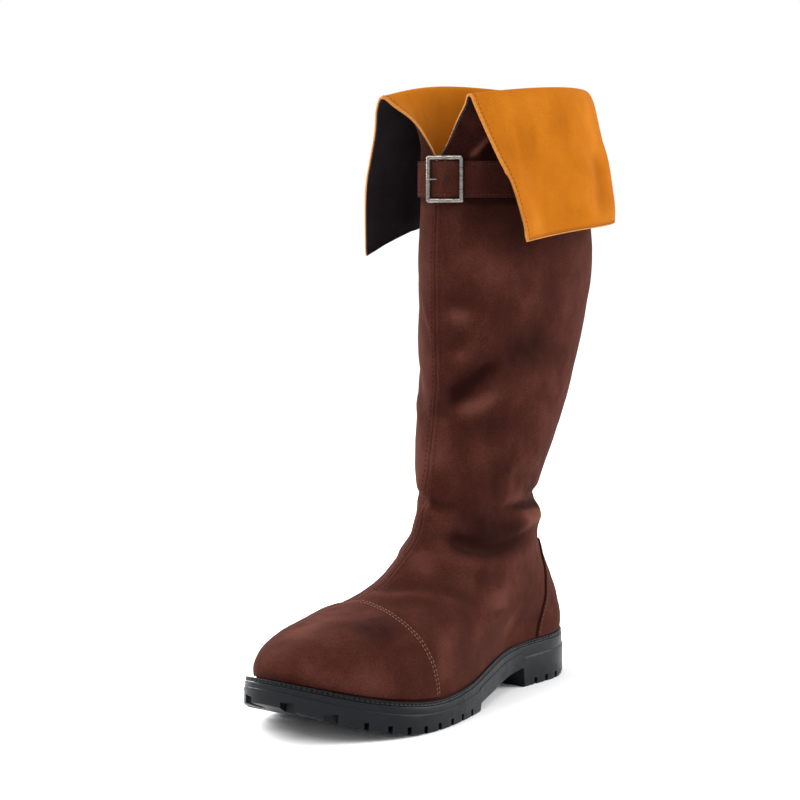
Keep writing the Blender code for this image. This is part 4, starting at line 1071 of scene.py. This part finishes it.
def old_silver():
    """Silver worn bright on its faces and dark in its scratches; an attribute darkens its corners, sides and
    back, partly as tarnish and partly as painted shade.
    """
    n = Nodes("metal_antique_silver")
    scratch = n.noise(260.0, 5.0, stretch=(1.0, 1.0, 5.0), rough=0.7)
    fine = n.noise(1600.0, 3.0)
    # the attribute: partly patina, partly painted shade on the frame's sides and back
    dull = n.math("ADD", n.range(scratch, 0.44, 0.66, 0.0, 0.70), n.value("patina_and_painted_shade"))
    color = n.mix(n.math("MINIMUM", dull, 1.0), SILVER, (0.045, 0.034, 0.029))
    rough = n.range(dull, 0.0, 1.0, 0.20, 0.46)
    return n.finish(color, rough, n.bump(fine, 0.16, 0.0002), metallic=1.0)


def thread(name, color):
    n = Nodes(name)
    twist = n.noise(3200.0, 2.0)
    deep = tuple(0.45 * part for part in color)
    tone = n.ramp(twist, (0.35, deep), (0.65, color))
    return n.finish(
        tone, 0.75, n.bump(twist, 0.5, 0.0001), sheen_weight=0.1, specular_ior_level=0.1,
    )


def insole_leather():
    n = Nodes("insole_leather")
    pores = n.noise(1100.0, 3.0)
    slow = n.noise(45.0, 4.0)
    tone = n.math("MULTIPLY_ADD", slow, 0.7, n.math("MULTIPLY", pores, 0.3))
    color = n.ramp(tone, (0.3, (0.070, 0.036, 0.018)), (0.7, (0.150, 0.086, 0.046)))
    return n.finish(color, n.range(slow, 0.3, 0.7, 0.55, 0.75), n.bump(pores, 0.4, 0.0003))


def pale_floor():
    n = Nodes("floor_pale")
    color = n.ramp(n.noise(6.0, 3.0), (0.3, (0.90, 0.90, 0.90)), (0.7, (0.93, 0.93, 0.93)))
    return n.finish(color, 0.8, specular_ior_level=0.1)


def make_materials():
    browns = (BROWN_DARK, BROWN, BROWN_LIGHT)
    ochres = (OCHRE_DARK, OCHRE, OCHRE_LIGHT)
    painted_shade_backs = ((0.006, 0.0045, 0.005), FLAP_BACK_PAINTED_SHADE, (0.030, 0.020, 0.020))
    linings = ((0.030, 0.014, 0.009), (0.060, 0.030, 0.020), (0.095, 0.050, 0.034))
    red_sheen = (0.95, 0.40, 0.30)
    return {
        "brown": suede("suede_brown_nap", browns, 0.10, red_sheen, True, True),
        "strap": suede("suede_brown_strap", browns, 0.07, red_sheen),
        "ochre": suede("suede_ochre_nap", ochres, 0.06, (1.0, 0.65, 0.25), False, True),
        # the flap's back: near-black suede as painted shade
        "flap_back_painted_shade": suede("suede_flap_back_painted_shade", painted_shade_backs, 0.12, (0.6, 0.55, 0.6)),
        "lining": suede("lining_brown", linings, 0.15, (0.9, 0.7, 0.6)),
        "edge": cut_edge(
            "edge_dark_grey", (0.009, 0.008, 0.010), (0.034, 0.030, 0.038), specular_ior_level=0.1,
        ),
        "edge_ochre": cut_edge("edge_ochre", OCHRE, (0.52, 0.20, 0.020)),
        "rubber": rubber(),
        "metal": old_silver(),
        "thread_brown": thread("thread_brown", THREAD_BROWN),
        "thread_dark": thread("thread_dark", THREAD_DARK),
        "thread_ochre": thread("thread_ochre", THREAD_OCHRE),
        # black for the strap holes' middles, painted shade
        "hole_painted_shade": thread("hole_painted_shade", HOLE_PAINTED_SHADE),
        "insole": insole_leather(),
        "floor": pale_floor(),
    }


# Foot and shaft
def seam_columns(count):
    """Turns round the upper, with more of them close to the front seam."""
    even = np.arange(1, count) / count
    side = np.array([0.0005, 0.0012, 0.0020, 0.003, 0.0045, 0.006])
    return np.unique(np.round(np.concatenate([even, 1 - side, side, [0.0]]), 6))


def build_upper(made):
    v = np.concatenate([
        np.linspace(0, 7.0, 78), np.linspace(7.0, 11.0, 66)[1:], np.linspace(11.0, TOP_ROW, 106)[1:],
    ])[:, None]
    base = seam_columns(236)[None, :]
    off_seam = np.minimum(base, 1 - base)
    u = base + seam_turn(v) * np.exp(-((off_seam / 0.16) ** 2))
    outer, normal, folds = dressed(u, v)
    seam = off_seam * turn_pace(u, v, 0.0)
    groove = 0.00012 * np.exp(-(((seam - 0.0022) / 0.0012) ** 2))
    groove = groove - 0.00022 * np.exp(-((seam / 0.0008) ** 2))
    outer = outer + groove[..., None] * normal
    outer[0, :, 2] = upper_point(u[0], np.zeros(u.shape[1]))[:, 2]
    outer[-1, :, 2] = BELT_SEAM - GAP
    rows, columns = outer.shape[:2]
    below_strap = np.clip(STRAP_HEIGHT - STRAP_WIDTH / 2 - outer[..., 2], 0, 1)
    # nap patches, themselves partly painted shade and highlight, plus painted shade in fold troughs and
    # painted highlight on fold ridges
    nap_and_painted_light = path_field(upper_point(u, v), upper_point, UPPER_NAP_AND_PAINTED_LIGHT) + FOLD_PAINTED_LIGHT * folds
    # painted shadow on the shaft just under the strap
    nap_and_painted_light = nap_and_painted_light - STRAP_PAINTED_SHADOW * np.exp(-((below_strap / STRAP_PAINTED_SHADOW_REACH) ** 2))
    faces = grid_faces(rows, columns, True)
    upper = make_mesh("upper_suede", outer.reshape(-1, 3), faces, made["brown"])
    set_value(upper, "seam", seam)
    set_value(upper, "nap_and_painted_light", nap_and_painted_light)
    place_piece(upper, "upper")

    rows, columns = 116, 112
    face, normal = dressed(
        (np.arange(columns) / columns)[None, :], np.linspace(0, TOP_ROW, rows)[:, None],
    )[:2]
    inner = face - WALL * normal
    inner[0, :, 2] = face[0, :, 2]
    inner[-1, :, 2] = BELT_SEAM - GAP
    faces = grid_faces(rows, columns, True, flip=True)
    place_piece(make_mesh("upper_lining", inner.reshape(-1, 3), faces, made["lining"]))

    lines = []
    v = np.linspace(CAP_TOP_ROW + 0.5, 16.9, 500)
    for side in (-1, 1):
        turn = seam_turn(v) + side * SEAM_ROW_OUT / turn_pace(seam_turn(v), v, 0.0)
        lines.append(dressed(turn, v, SEAM_THREAD_LIFT)[:2])
    stitches("seam_stitches", lines, 0.0034, 0.0020, 0.00020, made["strap"])


def overlay(name, u, v, edges, made, node):
    """Overlay on the upper with rounded edges; edges holds each point's distance to its edge."""
    rise = np.sqrt(np.clip(1 - (1 - np.clip(edges / EDGE_ROUND, 0, 1)) ** 2, 0, 1))
    off = OVERLAY_SEAT * 0.2 + (OVERLAY_SEAT * 0.8 + OVERLAY) * rise
    face, normal, folds = dressed(u, v)
    outer = face + off[..., None] * normal
    rows, columns = outer.shape[:2]
    item = make_mesh(name, outer.reshape(-1, 3), grid_faces(rows, columns), made["brown"])
    patches = path_field(upper_point(u, v), upper_point, UPPER_NAP_AND_PAINTED_LIGHT)
    # nap patches, themselves partly painted shade and highlight, plus painted shade in fold troughs and
    # painted highlight on fold ridges
    set_value(item, "nap_and_painted_light", patches + FOLD_PAINTED_LIGHT * folds)
    set_value(item, "seam", 0.5 * np.broadcast_to(edges, (rows, columns)))
    place_piece(item, node)


def cap_reach(v):
    """Half the turn that the toe cap covers at a row."""
    rise = np.clip((v - OVERLAY_FOOT_ROW) / (CAP_TOP_ROW - OVERLAY_FOOT_ROW), 0, 1)
    row = smooth_rows(UPPER_ROWS, v)
    line = y_at(CAP_LINE) + LENGTH * (CAP_SWEEP * (1 - rise) ** 1.5 + CAP_CROWN * rise**3)
    return edge_turn(np.maximum((line - row[..., 0]) / (row[..., 2] - row[..., 0]), 0.0002))


def counter_reach(v):
    """Half the turn that the heel counter covers at a row."""
    rise = (v - OVERLAY_FOOT_ROW) / (COUNTER_TOP_ROW - OVERLAY_FOOT_ROW)
    row = smooth_rows(UPPER_ROWS, v)
    line = y_at(COUNTER_FOOT + (COUNTER_TOP - COUNTER_FOOT) * rise**1.3)
    return 0.5 - edge_turn((line - row[..., 0]) / (row[..., 2] - row[..., 0]))


def build_overlays(made):
    half = 1 - (1 - np.linspace(0, 1, 90)) ** 1.6
    half = 1 - (1 - half) ** 1.25
    across = np.concatenate([-half[::-1], half[1:]])
    inside = (1 - np.abs(across))[None, :]
    lift = OVERLAY_SEAT + OVERLAY

    rise = 1 - (1 - np.linspace(0, 1, 110)) ** 1.35
    v = (OVERLAY_FOOT_ROW + (CAP_TOP_ROW - OVERLAY_FOOT_ROW) * rise)[:, None]
    reach = cap_reach(v[:, 0])[:, None]
    edges = inside * reach * turn_pace(reach, v)
    overlay("toe_cap_suede", reach * across[None, :], v, edges, made, "toe_cap")
    rows = np.linspace(OVERLAY_FOOT_ROW + 0.1, CAP_TOP_ROW - 0.01, 300)
    turn = cap_reach(rows)
    turn, rows = np.concatenate([turn, -turn[::-1]]), np.concatenate([rows, rows[::-1]])
    edge, normal = dressed(turn, rows, lift + CAP_THREAD_LIFT)[:2]
    inward = unit(np.cross(np.gradient(edge, axis=0), normal))
    inward *= -np.sign(inward[300, 1])
    lines = [(edge + inset * inward, normal) for inset in CAP_ROWS_IN]
    stitches(
        "toe_cap_stitches", lines, 0.0030, 0.0020, 0.00036, made["thread_brown"],
    )

    v = np.linspace(OVERLAY_FOOT_ROW, COUNTER_TOP_ROW, 120)[:, None]
    reach = counter_reach(v[:, 0])[:, None]
    side_gap = inside * reach * turn_pace(0.5 - reach, v)
    top, under = upper_point(0.5, COUNTER_TOP_ROW), upper_point(0.5, COUNTER_TOP_ROW - 1)
    edges = np.minimum(side_gap, (COUNTER_TOP_ROW - v) * np.linalg.norm(top - under))
    overlay("heel_counter_suede", 0.5 + reach * across[None, :], v, edges, made, "heel_counter")
    rows = np.linspace(OVERLAY_FOOT_ROW + 0.1, COUNTER_TOP_ROW - 0.2, 300)
    reach = counter_reach(rows)
    inset = COUNTER_ROW_IN / turn_pace(0.5 - reach, rows)
    lines = [dressed(0.5 + side * (reach - inset), rows, lift + COUNTER_THREAD_LIFT)[:2] for side in (1, -1)]
    reach = 0.9 * float(counter_reach(np.array(7.5)))
    turn = np.linspace(0.5 - reach, 0.5 + reach, 80)
    lines.append(dressed(turn, np.full(80, COUNTER_TOP_ROW - 0.22), lift + COUNTER_THREAD_LIFT)[:2])
    stitches(
        "heel_counter_stitches", lines, 0.0032, 0.0022, 0.00022, made["thread_brown"],
    )


# Cuff
def cuff_dressed(u, v):
    """Hidden face of the flap and outside of the neck, with the cuff's waves; also normals."""
    u, v = np.broadcast_arrays(np.asarray(u, float), np.asarray(v, float))
    plain, normal = cuff_point(u, v), cuff_normal(u, v)
    waves = -path_field(plain, cuff_point, CUFF_FOLDS) * np.clip((v - 5.6) / 1.2, 0, 1)
    waves = waves + 0.0004 * ripple(plain, 0.06, 3.0) * np.clip(v - 5.2, 0, 1)
    waves = waves + path_field(plain, cuff_point, NECK_FOLDS) * np.clip(4.5 - v, 0, 1)
    return plain + waves[..., None] * normal, normal


def cuff_lining(u, v):
    return cuff_point(u, v) - CUFF_WALL * cuff_normal(u, v)


def lining_line(turns, rows):
    """Line of stitches on the cuff's lining: its points and normals."""
    point, normal = cuff_dressed(turns, rows)
    return point - (CUFF_WALL + FACE_THREAD_LIFT) * normal, -normal


def slit_turns(rows, inset):
    """Turn at which the cuff lies a distance in from the slit, at each row."""
    tries = np.linspace(0, 0.12, 120)
    line = cuff_point(tries[None, :], rows[:, None])
    way = np.cumsum(np.linalg.norm(np.diff(line, axis=1), axis=-1), axis=1)
    return np.array([np.interp(inset, np.append(0, row), tries) for row in way])


def rim(outer, inner, v):
    """Rounded edge of the cuff along both sides of the slit and the hem.
    Gives the places of the edge in the grid and five lines of points between the two faces."""
    rows, columns = outer.shape[:2]
    i = np.concatenate([np.arange(rows), np.full(columns - 1, rows - 1), np.arange(rows - 2, -1, -1)])
    j = np.concatenate([np.zeros(rows, int), np.arange(1, columns), np.full(rows - 1, columns - 1)])
    beside = outer[i, np.clip(j, 1, columns - 2)]
    above = outer[rows - 2, j]
    slit, hem = ((j == 0) | (j == columns - 1))[:, None], (i == rows - 1)[:, None]
    back = np.where(hem & slit, (beside + above) / 2, np.where(hem, above, beside))
    a, b = outer[i, j], inner[i, j]
    bulge = np.where(v[i] < 5, RIM_NECK, RIM_FLAP) * unit(a - back)
    strips = []
    for k in range(1, 6):
        angle = math.pi * k / 6
        strips.append((a + b) / 2 + math.cos(angle) * (a - b) / 2 + math.sin(angle) * bulge)
    return i * columns + j, strips


def build_cuff(made):
    u = np.linspace(0, 1, 200)[None, :]
    v = np.concatenate([
        np.linspace(0, 3.4, 34), np.linspace(3.4, 6.0, 52)[1:],
        np.linspace(6.0, CUFF_TOP_ROW, 47)[1:],
    ])[:, None]
    outer, normal = cuff_dressed(u, v)
    outer[0, :, 2] = BELT_SEAM + GAP
    inner = outer - CUFF_WALL * normal
    inner[0, :, 2] = BELT_SEAM + GAP
    rows, columns = outer.shape[:2]
    size = rows * columns
    edge, strips = rim(outer, inner, v)
    points = np.concatenate([outer.reshape(-1, 3), inner.reshape(-1, 3)] + strips)
    faces = [grid_faces(rows, columns), grid_faces(rows, columns, start=size, flip=True)]
    # material numbers: 0 brown, 1 ochre, 2 dark edge, 3 ochre edge, 4 the flap's turned-down back, near
    # black as painted shade
    row_of_face = np.repeat(np.arange(rows - 1), columns - 1)
    slots = [np.where(v[row_of_face, 0] > 4.4, 4, 0), np.ones(len(faces[1]))]
    chain = [2 * size + k * len(edge) + np.arange(len(edge)) for k in range(len(strips))]
    chain = [edge] + chain + [edge + size]
    for k, (low, high) in enumerate(zip(chain, chain[1:])):
        faces.append(np.stack([low[:-1], high[:-1], high[1:], low[1:]], -1))
        slots.append(np.full(len(edge) - 1, 2 if k < 2 else 3))
    materials = [made[key] for key in ("brown", "ochre", "edge", "edge_ochre", "flap_back_painted_shade")]
    cuff = make_mesh("cuff_suede", points, np.concatenate(faces), materials, np.concatenate(slots))
    nap_and_painted_light = np.zeros(len(points))
    # the neck's brown outside darkened overall as painted shade, with painted highlight and painted shade
    # along its crease
    nap_and_painted_light[:size] = -0.6 + path_field(outer, cuff_point, NECK_NAP_AND_PAINTED_LIGHT).reshape(-1)
    # the ochre side's nap tone, partly painted shade and painted highlight along the waves
    nap_and_painted_light[size: 2 * size] = 0.75 * path_field(inner, cuff_lining, CUFF_NAP_AND_PAINTED_LIGHT).reshape(-1)
    set_value(cuff, "nap_and_painted_light", nap_and_painted_light)
    set_value(cuff, "seam", np.full(len(points), NO_SEAM))
    place_piece(cuff, "cuff")

    rows = np.linspace(0.9, CUFF_TOP_ROW - 0.08, 400)
    turn = slit_turns(rows, CUFF_ROW_IN)
    lines = [lining_line(turn, rows), lining_line(1 - turn, rows)]
    lines.append(lining_line(np.linspace(0.012, 0.988, 500), np.full(500, CUFF_TOP_ROW - 0.07)))
    for turn in (0.5 - BACK_ROWS_TURN, 0.5 + BACK_ROWS_TURN):
        lines.append(lining_line(np.full(120, turn), np.linspace(0.2, 4.3, 120)))
    stitches("cuff_stitches", lines, 0.0030, 0.0020, 0.00023, made["thread_ochre"])


# Strap and buckle
def strap_tube(points, normals, profile, material):
    """A rounded profile of (off the shaft, up) carried along the strap's path."""
    rows = [
        np.column_stack([points + normals * off, np.full(len(points), STRAP_HEIGHT + up)])
        for off, up in profile
    ]
    grid = np.stack(rows, 1)
    count = grid.shape[1]
    ends = [
        (start + k, start + k + 1, start + count - k - 2, start + count - k - 1)
        for start in (0, (len(points) - 1) * count) for k in range(count // 2 - 1)
    ]
    faces = np.concatenate([grid_faces(len(points), count, True), np.array(ends)])
    return make_mesh("strap_suede", grid.reshape(-1, 3), faces, material)


def strap_profile():
    half, round_off = STRAP_WIDTH / 2, 0.0006
    profile = []
    for off, up, angle in (
        (STRAP_THICK - round_off, half - round_off, 0), (round_off, half - round_off, 90),
        (round_off, -half + round_off, 180), (STRAP_THICK - round_off, -half + round_off, 270),
    ):
        for k in range(4):
            turn = math.radians(angle + 30 * k)
            profile.append((off + round_off * math.cos(turn), up + round_off * math.sin(turn)))
    for share in (-0.8, -0.4, 0.0, 0.4, 0.8):
        profile.append((STRAP_THICK + 0.00012 * math.cos(math.pi * share), half * share))
    return profile


def build_strap(made):
    start = belt_turn_at(BUCKLE_SHIFT + CENTRE_BAR)
    tail = belt_turn_at(BUCKLE_SHIFT - BUCKLE_WIDTH / 2 - STRAP_TAIL)
    turns = np.concatenate([
        np.linspace(start, -0.10, 50), np.linspace(-0.103, -0.89, 330),
        np.linspace(-0.893, tail - 1.0, 130),
    ])
    over = turns + 1.0
    offset = np.where(over < 0.5, strap_offset(over), STRAP_SEAT)
    inner, outer = belt_path(turns, offset), belt_path(turns, offset + STRAP_THICK)
    normals = unit(outer - inner)
    strap = strap_tube(inner, normals, strap_profile(), made["strap"])
    place_piece(strap, "strap")

    flat_normals = np.column_stack([normals, np.zeros(len(normals))])
    spot = outer + normals * FACE_THREAD_LIFT
    lines = []
    for height in (-STRAP_WIDTH / 2 + STRAP_ROW_IN, STRAP_WIDTH / 2 - STRAP_ROW_IN):
        heights = np.full(len(spot), STRAP_HEIGHT + height)
        lines.append((np.column_stack([spot, heights]), flat_normals))
    cross = STRAP_HEIGHT + np.linspace(0.003 - STRAP_WIDTH / 2, STRAP_WIDTH / 2 - 0.003, 20)
    tip = outer[-1] + (outer[-2] - outer[-1]) * 1.6 + normals[-1] * FACE_THREAD_LIFT
    lines.append((np.column_stack([np.tile(tip, (20, 1)), cross]), np.tile(flat_normals[-1], (20, 1))))
    stitches("strap_stitches", lines, 0.0031, 0.0021, 0.00024, made["thread_dark"])

    along = buckle_frame_axes()[1]
    for name, place in (("strap_hole", 0.0012), ("strap_prong_hole", -0.0060)):
        turn = belt_turn_at(BUCKLE_SHIFT + place * along[0])
        turns = np.array([turn, turn + TURN_STEP])
        face = belt_path(turns, strap_offset(turns) + STRAP_THICK)
        tangent = np.append(unit(face[1] - face[0]), 0.0)
        out = np.array([tangent[1], -tangent[0], 0.0])
        spot = np.append(face[0], STRAP_HEIGHT)
        points = [
            spot + a * tangent + np.array([0, 0, b]) + out * (lift + 0.0001)
            for radius, lift in HOLE_RINGS for a, b in circle(20, radius)
        ]
        # rim in the strap's suede, middle in black as painted shade for the hole
        slots = np.repeat([0, 0, 1, 1, 1], 20)
        faces = grid_faces(len(HOLE_RINGS), 20, True)
        hole = make_mesh(name, points, faces, [made["strap"], made["hole_painted_shade"]], slots)
        place_piece(hole)


def build_buckle(made):
    back, front, bar_middle = frame_depths()
    wide, tall = BUCKLE_WIDTH / 2, STRAP_WIDTH / 2 + STRAP_PLAY + BUCKLE_BAR
    round_off = 0.0004
    # half the frame's section. columns: inset, distance off the shaft, patina and painted shade
    section = [
        (round_off, back, 1.0), (0.0, back + round_off, 0.9),
        (0.0, front - BUCKLE_BEVEL - 0.0003, 0.7), (0.00012, front - BUCKLE_BEVEL, 0.35),
        (BUCKLE_BEVEL, front - 0.00012, 0.0), (BUCKLE_BEVEL + 0.00035, front, 0.0),
    ]
    inner = [(BUCKLE_BAR - inset, off) for inset, off, shade in reversed(section)]
    shades = [shade for inset, off, shade in section] + [0.0, 0.3, 0.9, 1.0, 1.0, 1.0]
    points = []
    for inset, off in [row[:2] for row in section] + inner:
        radius = max(BUCKLE_CORNER - inset, 0.0005)
        for sx, sz, base in ((1, 1, 0.0), (-1, 1, 90.0), (-1, -1, 180.0), (1, -1, 270.0)):
            for step in range(9):
                angle = math.radians(base + step * 90.0 / 8)
                x = sx * (wide - inset - radius) + radius * math.cos(angle)
                z = sz * (tall - inset - radius) + radius * math.sin(angle)
                points.append(buckle_spot(x, off, z))
    count = len(points) // len(shades)
    # dark on the frame's sides, back and centre bar, bright on its front: partly patina, partly painted
    # shade
    patina_and_painted_shade = np.concatenate([np.repeat(shades, count), np.full(12 * 12, 0.8)])
    faces = np.concatenate([
        tube_faces(len(shades), count), grid_faces(12, 12, True, start=len(points)),
    ])
    for z in np.linspace(-tall + BUCKLE_BAR / 2, tall - BUCKLE_BAR / 2, 12):
        for a, b in circle(12, CENTRE_BAR / 2):
            points.append(buckle_spot(a, bar_middle + b, z))
    buckle = make_mesh("buckle_frame_metal", points, faces, made["metal"])
    set_value(buckle, "patina_and_painted_shade", patina_and_painted_shade)

    half = PRONG_THICK / 2
    side = -BUCKLE_WIDTH / 2
    low, high = bar_middle - CENTRE_BAR / 2 + half, front + GAP + half
    # the prong's path. columns: place along the strap, distance off the shaft, size
    path = smooth_rows((
        (-CENTRE_BAR / 2 - GAP, low, 1.0), (-PRONG_HOLE + PRONG_HOLE_LENGTH / 2, low, 1.0),
        (side + BUCKLE_BAR, high, 1.0), (side + BUCKLE_BAR / 2, high, 1.0),
        (side + BUCKLE_BAR / 5, high - half * 0.3, 0.7),
    ), np.linspace(0, 4, 33))
    points = [
        buckle_spot(place, off + size * a, size * b)
        for place, off, size in path for a, b in circle(14, half)
    ]
    points.append(buckle_spot(path[-1][0] - half * 0.4, path[-1][1], 0.0))
    tip = [(32 * 14 + k, 32 * 14 + (k + 1) % 14, 33 * 14) for k in range(14)]
    faces = grid_faces(33, 14, True).tolist() + tip
    prong = make_mesh("buckle_prong_metal", points, faces, made["metal"])
    place_piece(buckle, "buckle_frame")
    place_piece(prong, "buckle_prong")


# Sole
def sole_places():
    """Shares of the length for the sole's rings, with a pair at each step of its underside."""
    shares = list((1 - np.cos(math.pi * np.linspace(0, 1, 121))) / 2)
    step = 0.0022
    for place in (1 - TREAD_BACK / LENGTH, 1 - HEEL_LENGTH / LENGTH):
        shares = [share for share in shares if abs(share - place) > 2.2 * step]
        shares += [place - step, place + step]
    return np.array(sorted(shares))


def face_outwards(mesh):
    body = bmesh.new()
    body.from_mesh(mesh)
    bmesh.ops.recalc_face_normals(body, faces=body.faces)
    body.to_mesh(mesh)
    body.free()


def boxes_object(name, boxes):
    """All boxes of a list of corners as one mesh object."""
    sides = ((3, 2, 1, 0), (4, 5, 6, 7), (1, 5, 4, 0), (2, 6, 5, 1), (3, 7, 6, 2), (0, 4, 7, 3))
    faces = [[8 * box + k for k in face] for box in range(len(boxes)) for face in sides]
    mesh = bpy.data.meshes.new(name)
    mesh.from_pydata([corner for corners in boxes for corner in corners], [], faces)
    face_outwards(mesh)
    item = bpy.data.objects.new(name, mesh)
    bpy.context.scene.collection.objects.link(item)
    return item


def build_sole(made):
    shares = sole_places()
    rings = []
    for level, inset in SOLE_LEVELS:
        flat, loop = sole_ring(shares, inset)
        low, high = floor_height(loop), seat_height(flat[:, 1])
        rings.append(np.column_stack([flat, low + level * (high - low)]))
    count = len(rings[0])
    faces = lathe_like(rings) + cap_faces(0, count) + cap_faces((len(rings) - 1) * count, count)
    mesh = bpy.data.meshes.new("outsole_rubber")
    mesh.from_pydata(np.concatenate(rings).tolist(), [], faces)
    mesh.materials.append(made["rubber"])
    face_outwards(mesh)
    sole = bpy.data.objects.new("outsole_rubber", mesh)
    bpy.context.scene.collection.objects.link(sole)
    for name, boxes in (("lugs", notch_boxes()), ("grooves", groove_boxes())):
        cutter = boxes_object(name + "_cutter", boxes)
        cut = sole.modifiers.new(name, "BOOLEAN")
        cut.operation, cut.solver, cut.object = "DIFFERENCE", "EXACT", cutter
        graph = bpy.context.evaluated_depsgraph_get()
        result = bpy.data.meshes.new_from_object(sole.evaluated_get(graph))
        sole.modifiers.clear()
        sole.data = result
        bpy.data.objects.remove(cutter)
    body = bmesh.new()
    body.from_mesh(sole.data)
    for edge in body.edges:
        edge.smooth = not (len(edge.link_faces) == 2 and edge.calc_face_angle(0.0) > 0.55)
    for face in body.faces:
        face.smooth = True
    body.to_mesh(sole.data)
    body.free()
    place_piece(sole, "outsole")


def build_welt(made):
    count = 900
    side, share = side_and_share(np.arange(count) / count)
    y = HEEL_BACK - LENGTH * (1 - share)
    flat = np.stack([side * outline_half(share, side) + middle_line(y), y], 1)
    tangent = np.roll(flat, -1, 0) - np.roll(flat, 1, 0)
    normal = unit(np.stack([tangent[:, 1], -tangent[:, 0]], 1))
    way = np.concatenate([[0], np.cumsum(np.linalg.norm(np.diff(flat, axis=0), axis=1))])
    dash = np.clip(np.cos(way / WELT_DASH_PITCH * 2 * math.pi) * 2.2 - 0.7, 0, 1)
    rings = []
    for inset, rise, deep in WELT_EDGE:
        depth = SIDE_STEP + WELT_INSET + inset + WELT_DASH * deep * dash
        rings.append((flat - depth[:, None] * normal, rise))
    edge = rings[-1][0]
    step_in = upper_foot_ring(count, WELT_CLEAR)[:, :2] - edge
    rings += [(edge + share_in * step_in, rise) for share_in, rise in WELT_TOP]
    points = [np.column_stack([spot, seat_height(spot[:, 1]) + rise]) for spot, rise in rings]
    faces = tube_faces(len(rings), count)
    welt = make_mesh("welt_rubber", np.concatenate(points), faces, made["rubber"])
    place_piece(welt, "welt")


# Floor, light and camera
CAMERA_SPOT = (0.9159, -1.2754, 0.3527)
CAMERA_TURN = 38.654      # degrees, from looking along +Y
CAMERA_DOWN = 5.624       # degrees
CAMERA_LENS = 99.0        # millimetres, on a sensor 36 mm wide
WORLD_LIGHT = 1.0
SUN_LIGHT = 0.8
FLOOR_RINGS = (0.001, 0.6, 2.0, 5.0, 14.0)
LIGHTS_AIM = (0.0, -0.05, 0.2)
# Soft boxes. columns: name, place, size, power
LIGHTS = (
    ("key", (-0.5, -1.9, 1.9), 1.2, 26.0),
    ("rim_left", (-1.4, -0.1, 0.8), 0.9, 30.0),
    ("rim_right", (1.3, 1.1, 0.8), 0.9, 30.0),
)


def place_axes(item, side, up, back, spot):
    """Set an object's own axes and its place."""
    rows = [[side[k], up[k], back[k], spot[k]] for k in range(3)]
    item.matrix_world = Matrix(rows + [[0, 0, 0, 1]])


def build_stage(made):
    points = [(a, b, 0.0) for radius in FLOOR_RINGS for a, b in circle(64, radius)]
    floor = make_mesh("floor", points, grid_faces(len(FLOOR_RINGS), 64, True), made["floor"])
    world = bpy.data.worlds.new("studio")
    world.use_nodes = True
    sky = world.node_tree.nodes["Background"]
    sky.inputs["Color"].default_value = (1.0, 1.0, 1.0, 1.0)
    sky.inputs["Strength"].default_value = WORLD_LIGHT
    bpy.context.scene.world = world
    data = bpy.data.lights.new("sun", "SUN")
    data.energy, data.angle = SUN_LIGHT, 1.0
    sun = bpy.data.objects.new("sun", data)
    bpy.context.scene.collection.objects.link(sun)
    sun.rotation_euler = (0.35, -0.15, 0.0)
    for name, spot, size, power in LIGHTS:
        data = bpy.data.lights.new(name, "AREA")
        data.energy, data.size, data.shape = power, size, "SQUARE"
        lamp = bpy.data.objects.new(name, data)
        bpy.context.scene.collection.objects.link(lamp)
        back = unit(np.array(spot) - np.array(LIGHTS_AIM))
        side = unit(np.cross((0, 0, 1), back))
        place_axes(lamp, side, np.cross(back, side), back, spot)


def build_camera():
    data = bpy.data.cameras.new("camera")
    data.lens, data.sensor_width = CAMERA_LENS, 36.0
    turn, down = math.radians(CAMERA_TURN), math.radians(CAMERA_DOWN)
    level = np.array([-math.sin(turn), math.cos(turn), 0.0])
    ahead = level * math.cos(down) - np.array([0.0, 0.0, math.sin(down)])
    side = np.array([math.cos(turn), math.sin(turn), 0.0])
    camera = bpy.data.objects.new("camera", data)
    bpy.context.scene.collection.objects.link(camera)
    place_axes(camera, side, np.cross(side, ahead), -ahead, CAMERA_SPOT)
    bpy.context.scene.camera = camera
    bpy.context.scene.view_settings.view_transform = "Standard"


made = make_materials()
build_camera()
build_stage(made)
build_upper(made)
build_overlays(made)
build_cuff(made)
build_strap(made)
build_buckle(made)
build_sole(made)
build_welt(made)
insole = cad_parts["insole"]
insole.data.materials.clear()
insole.data.materials.append(made["insole"])
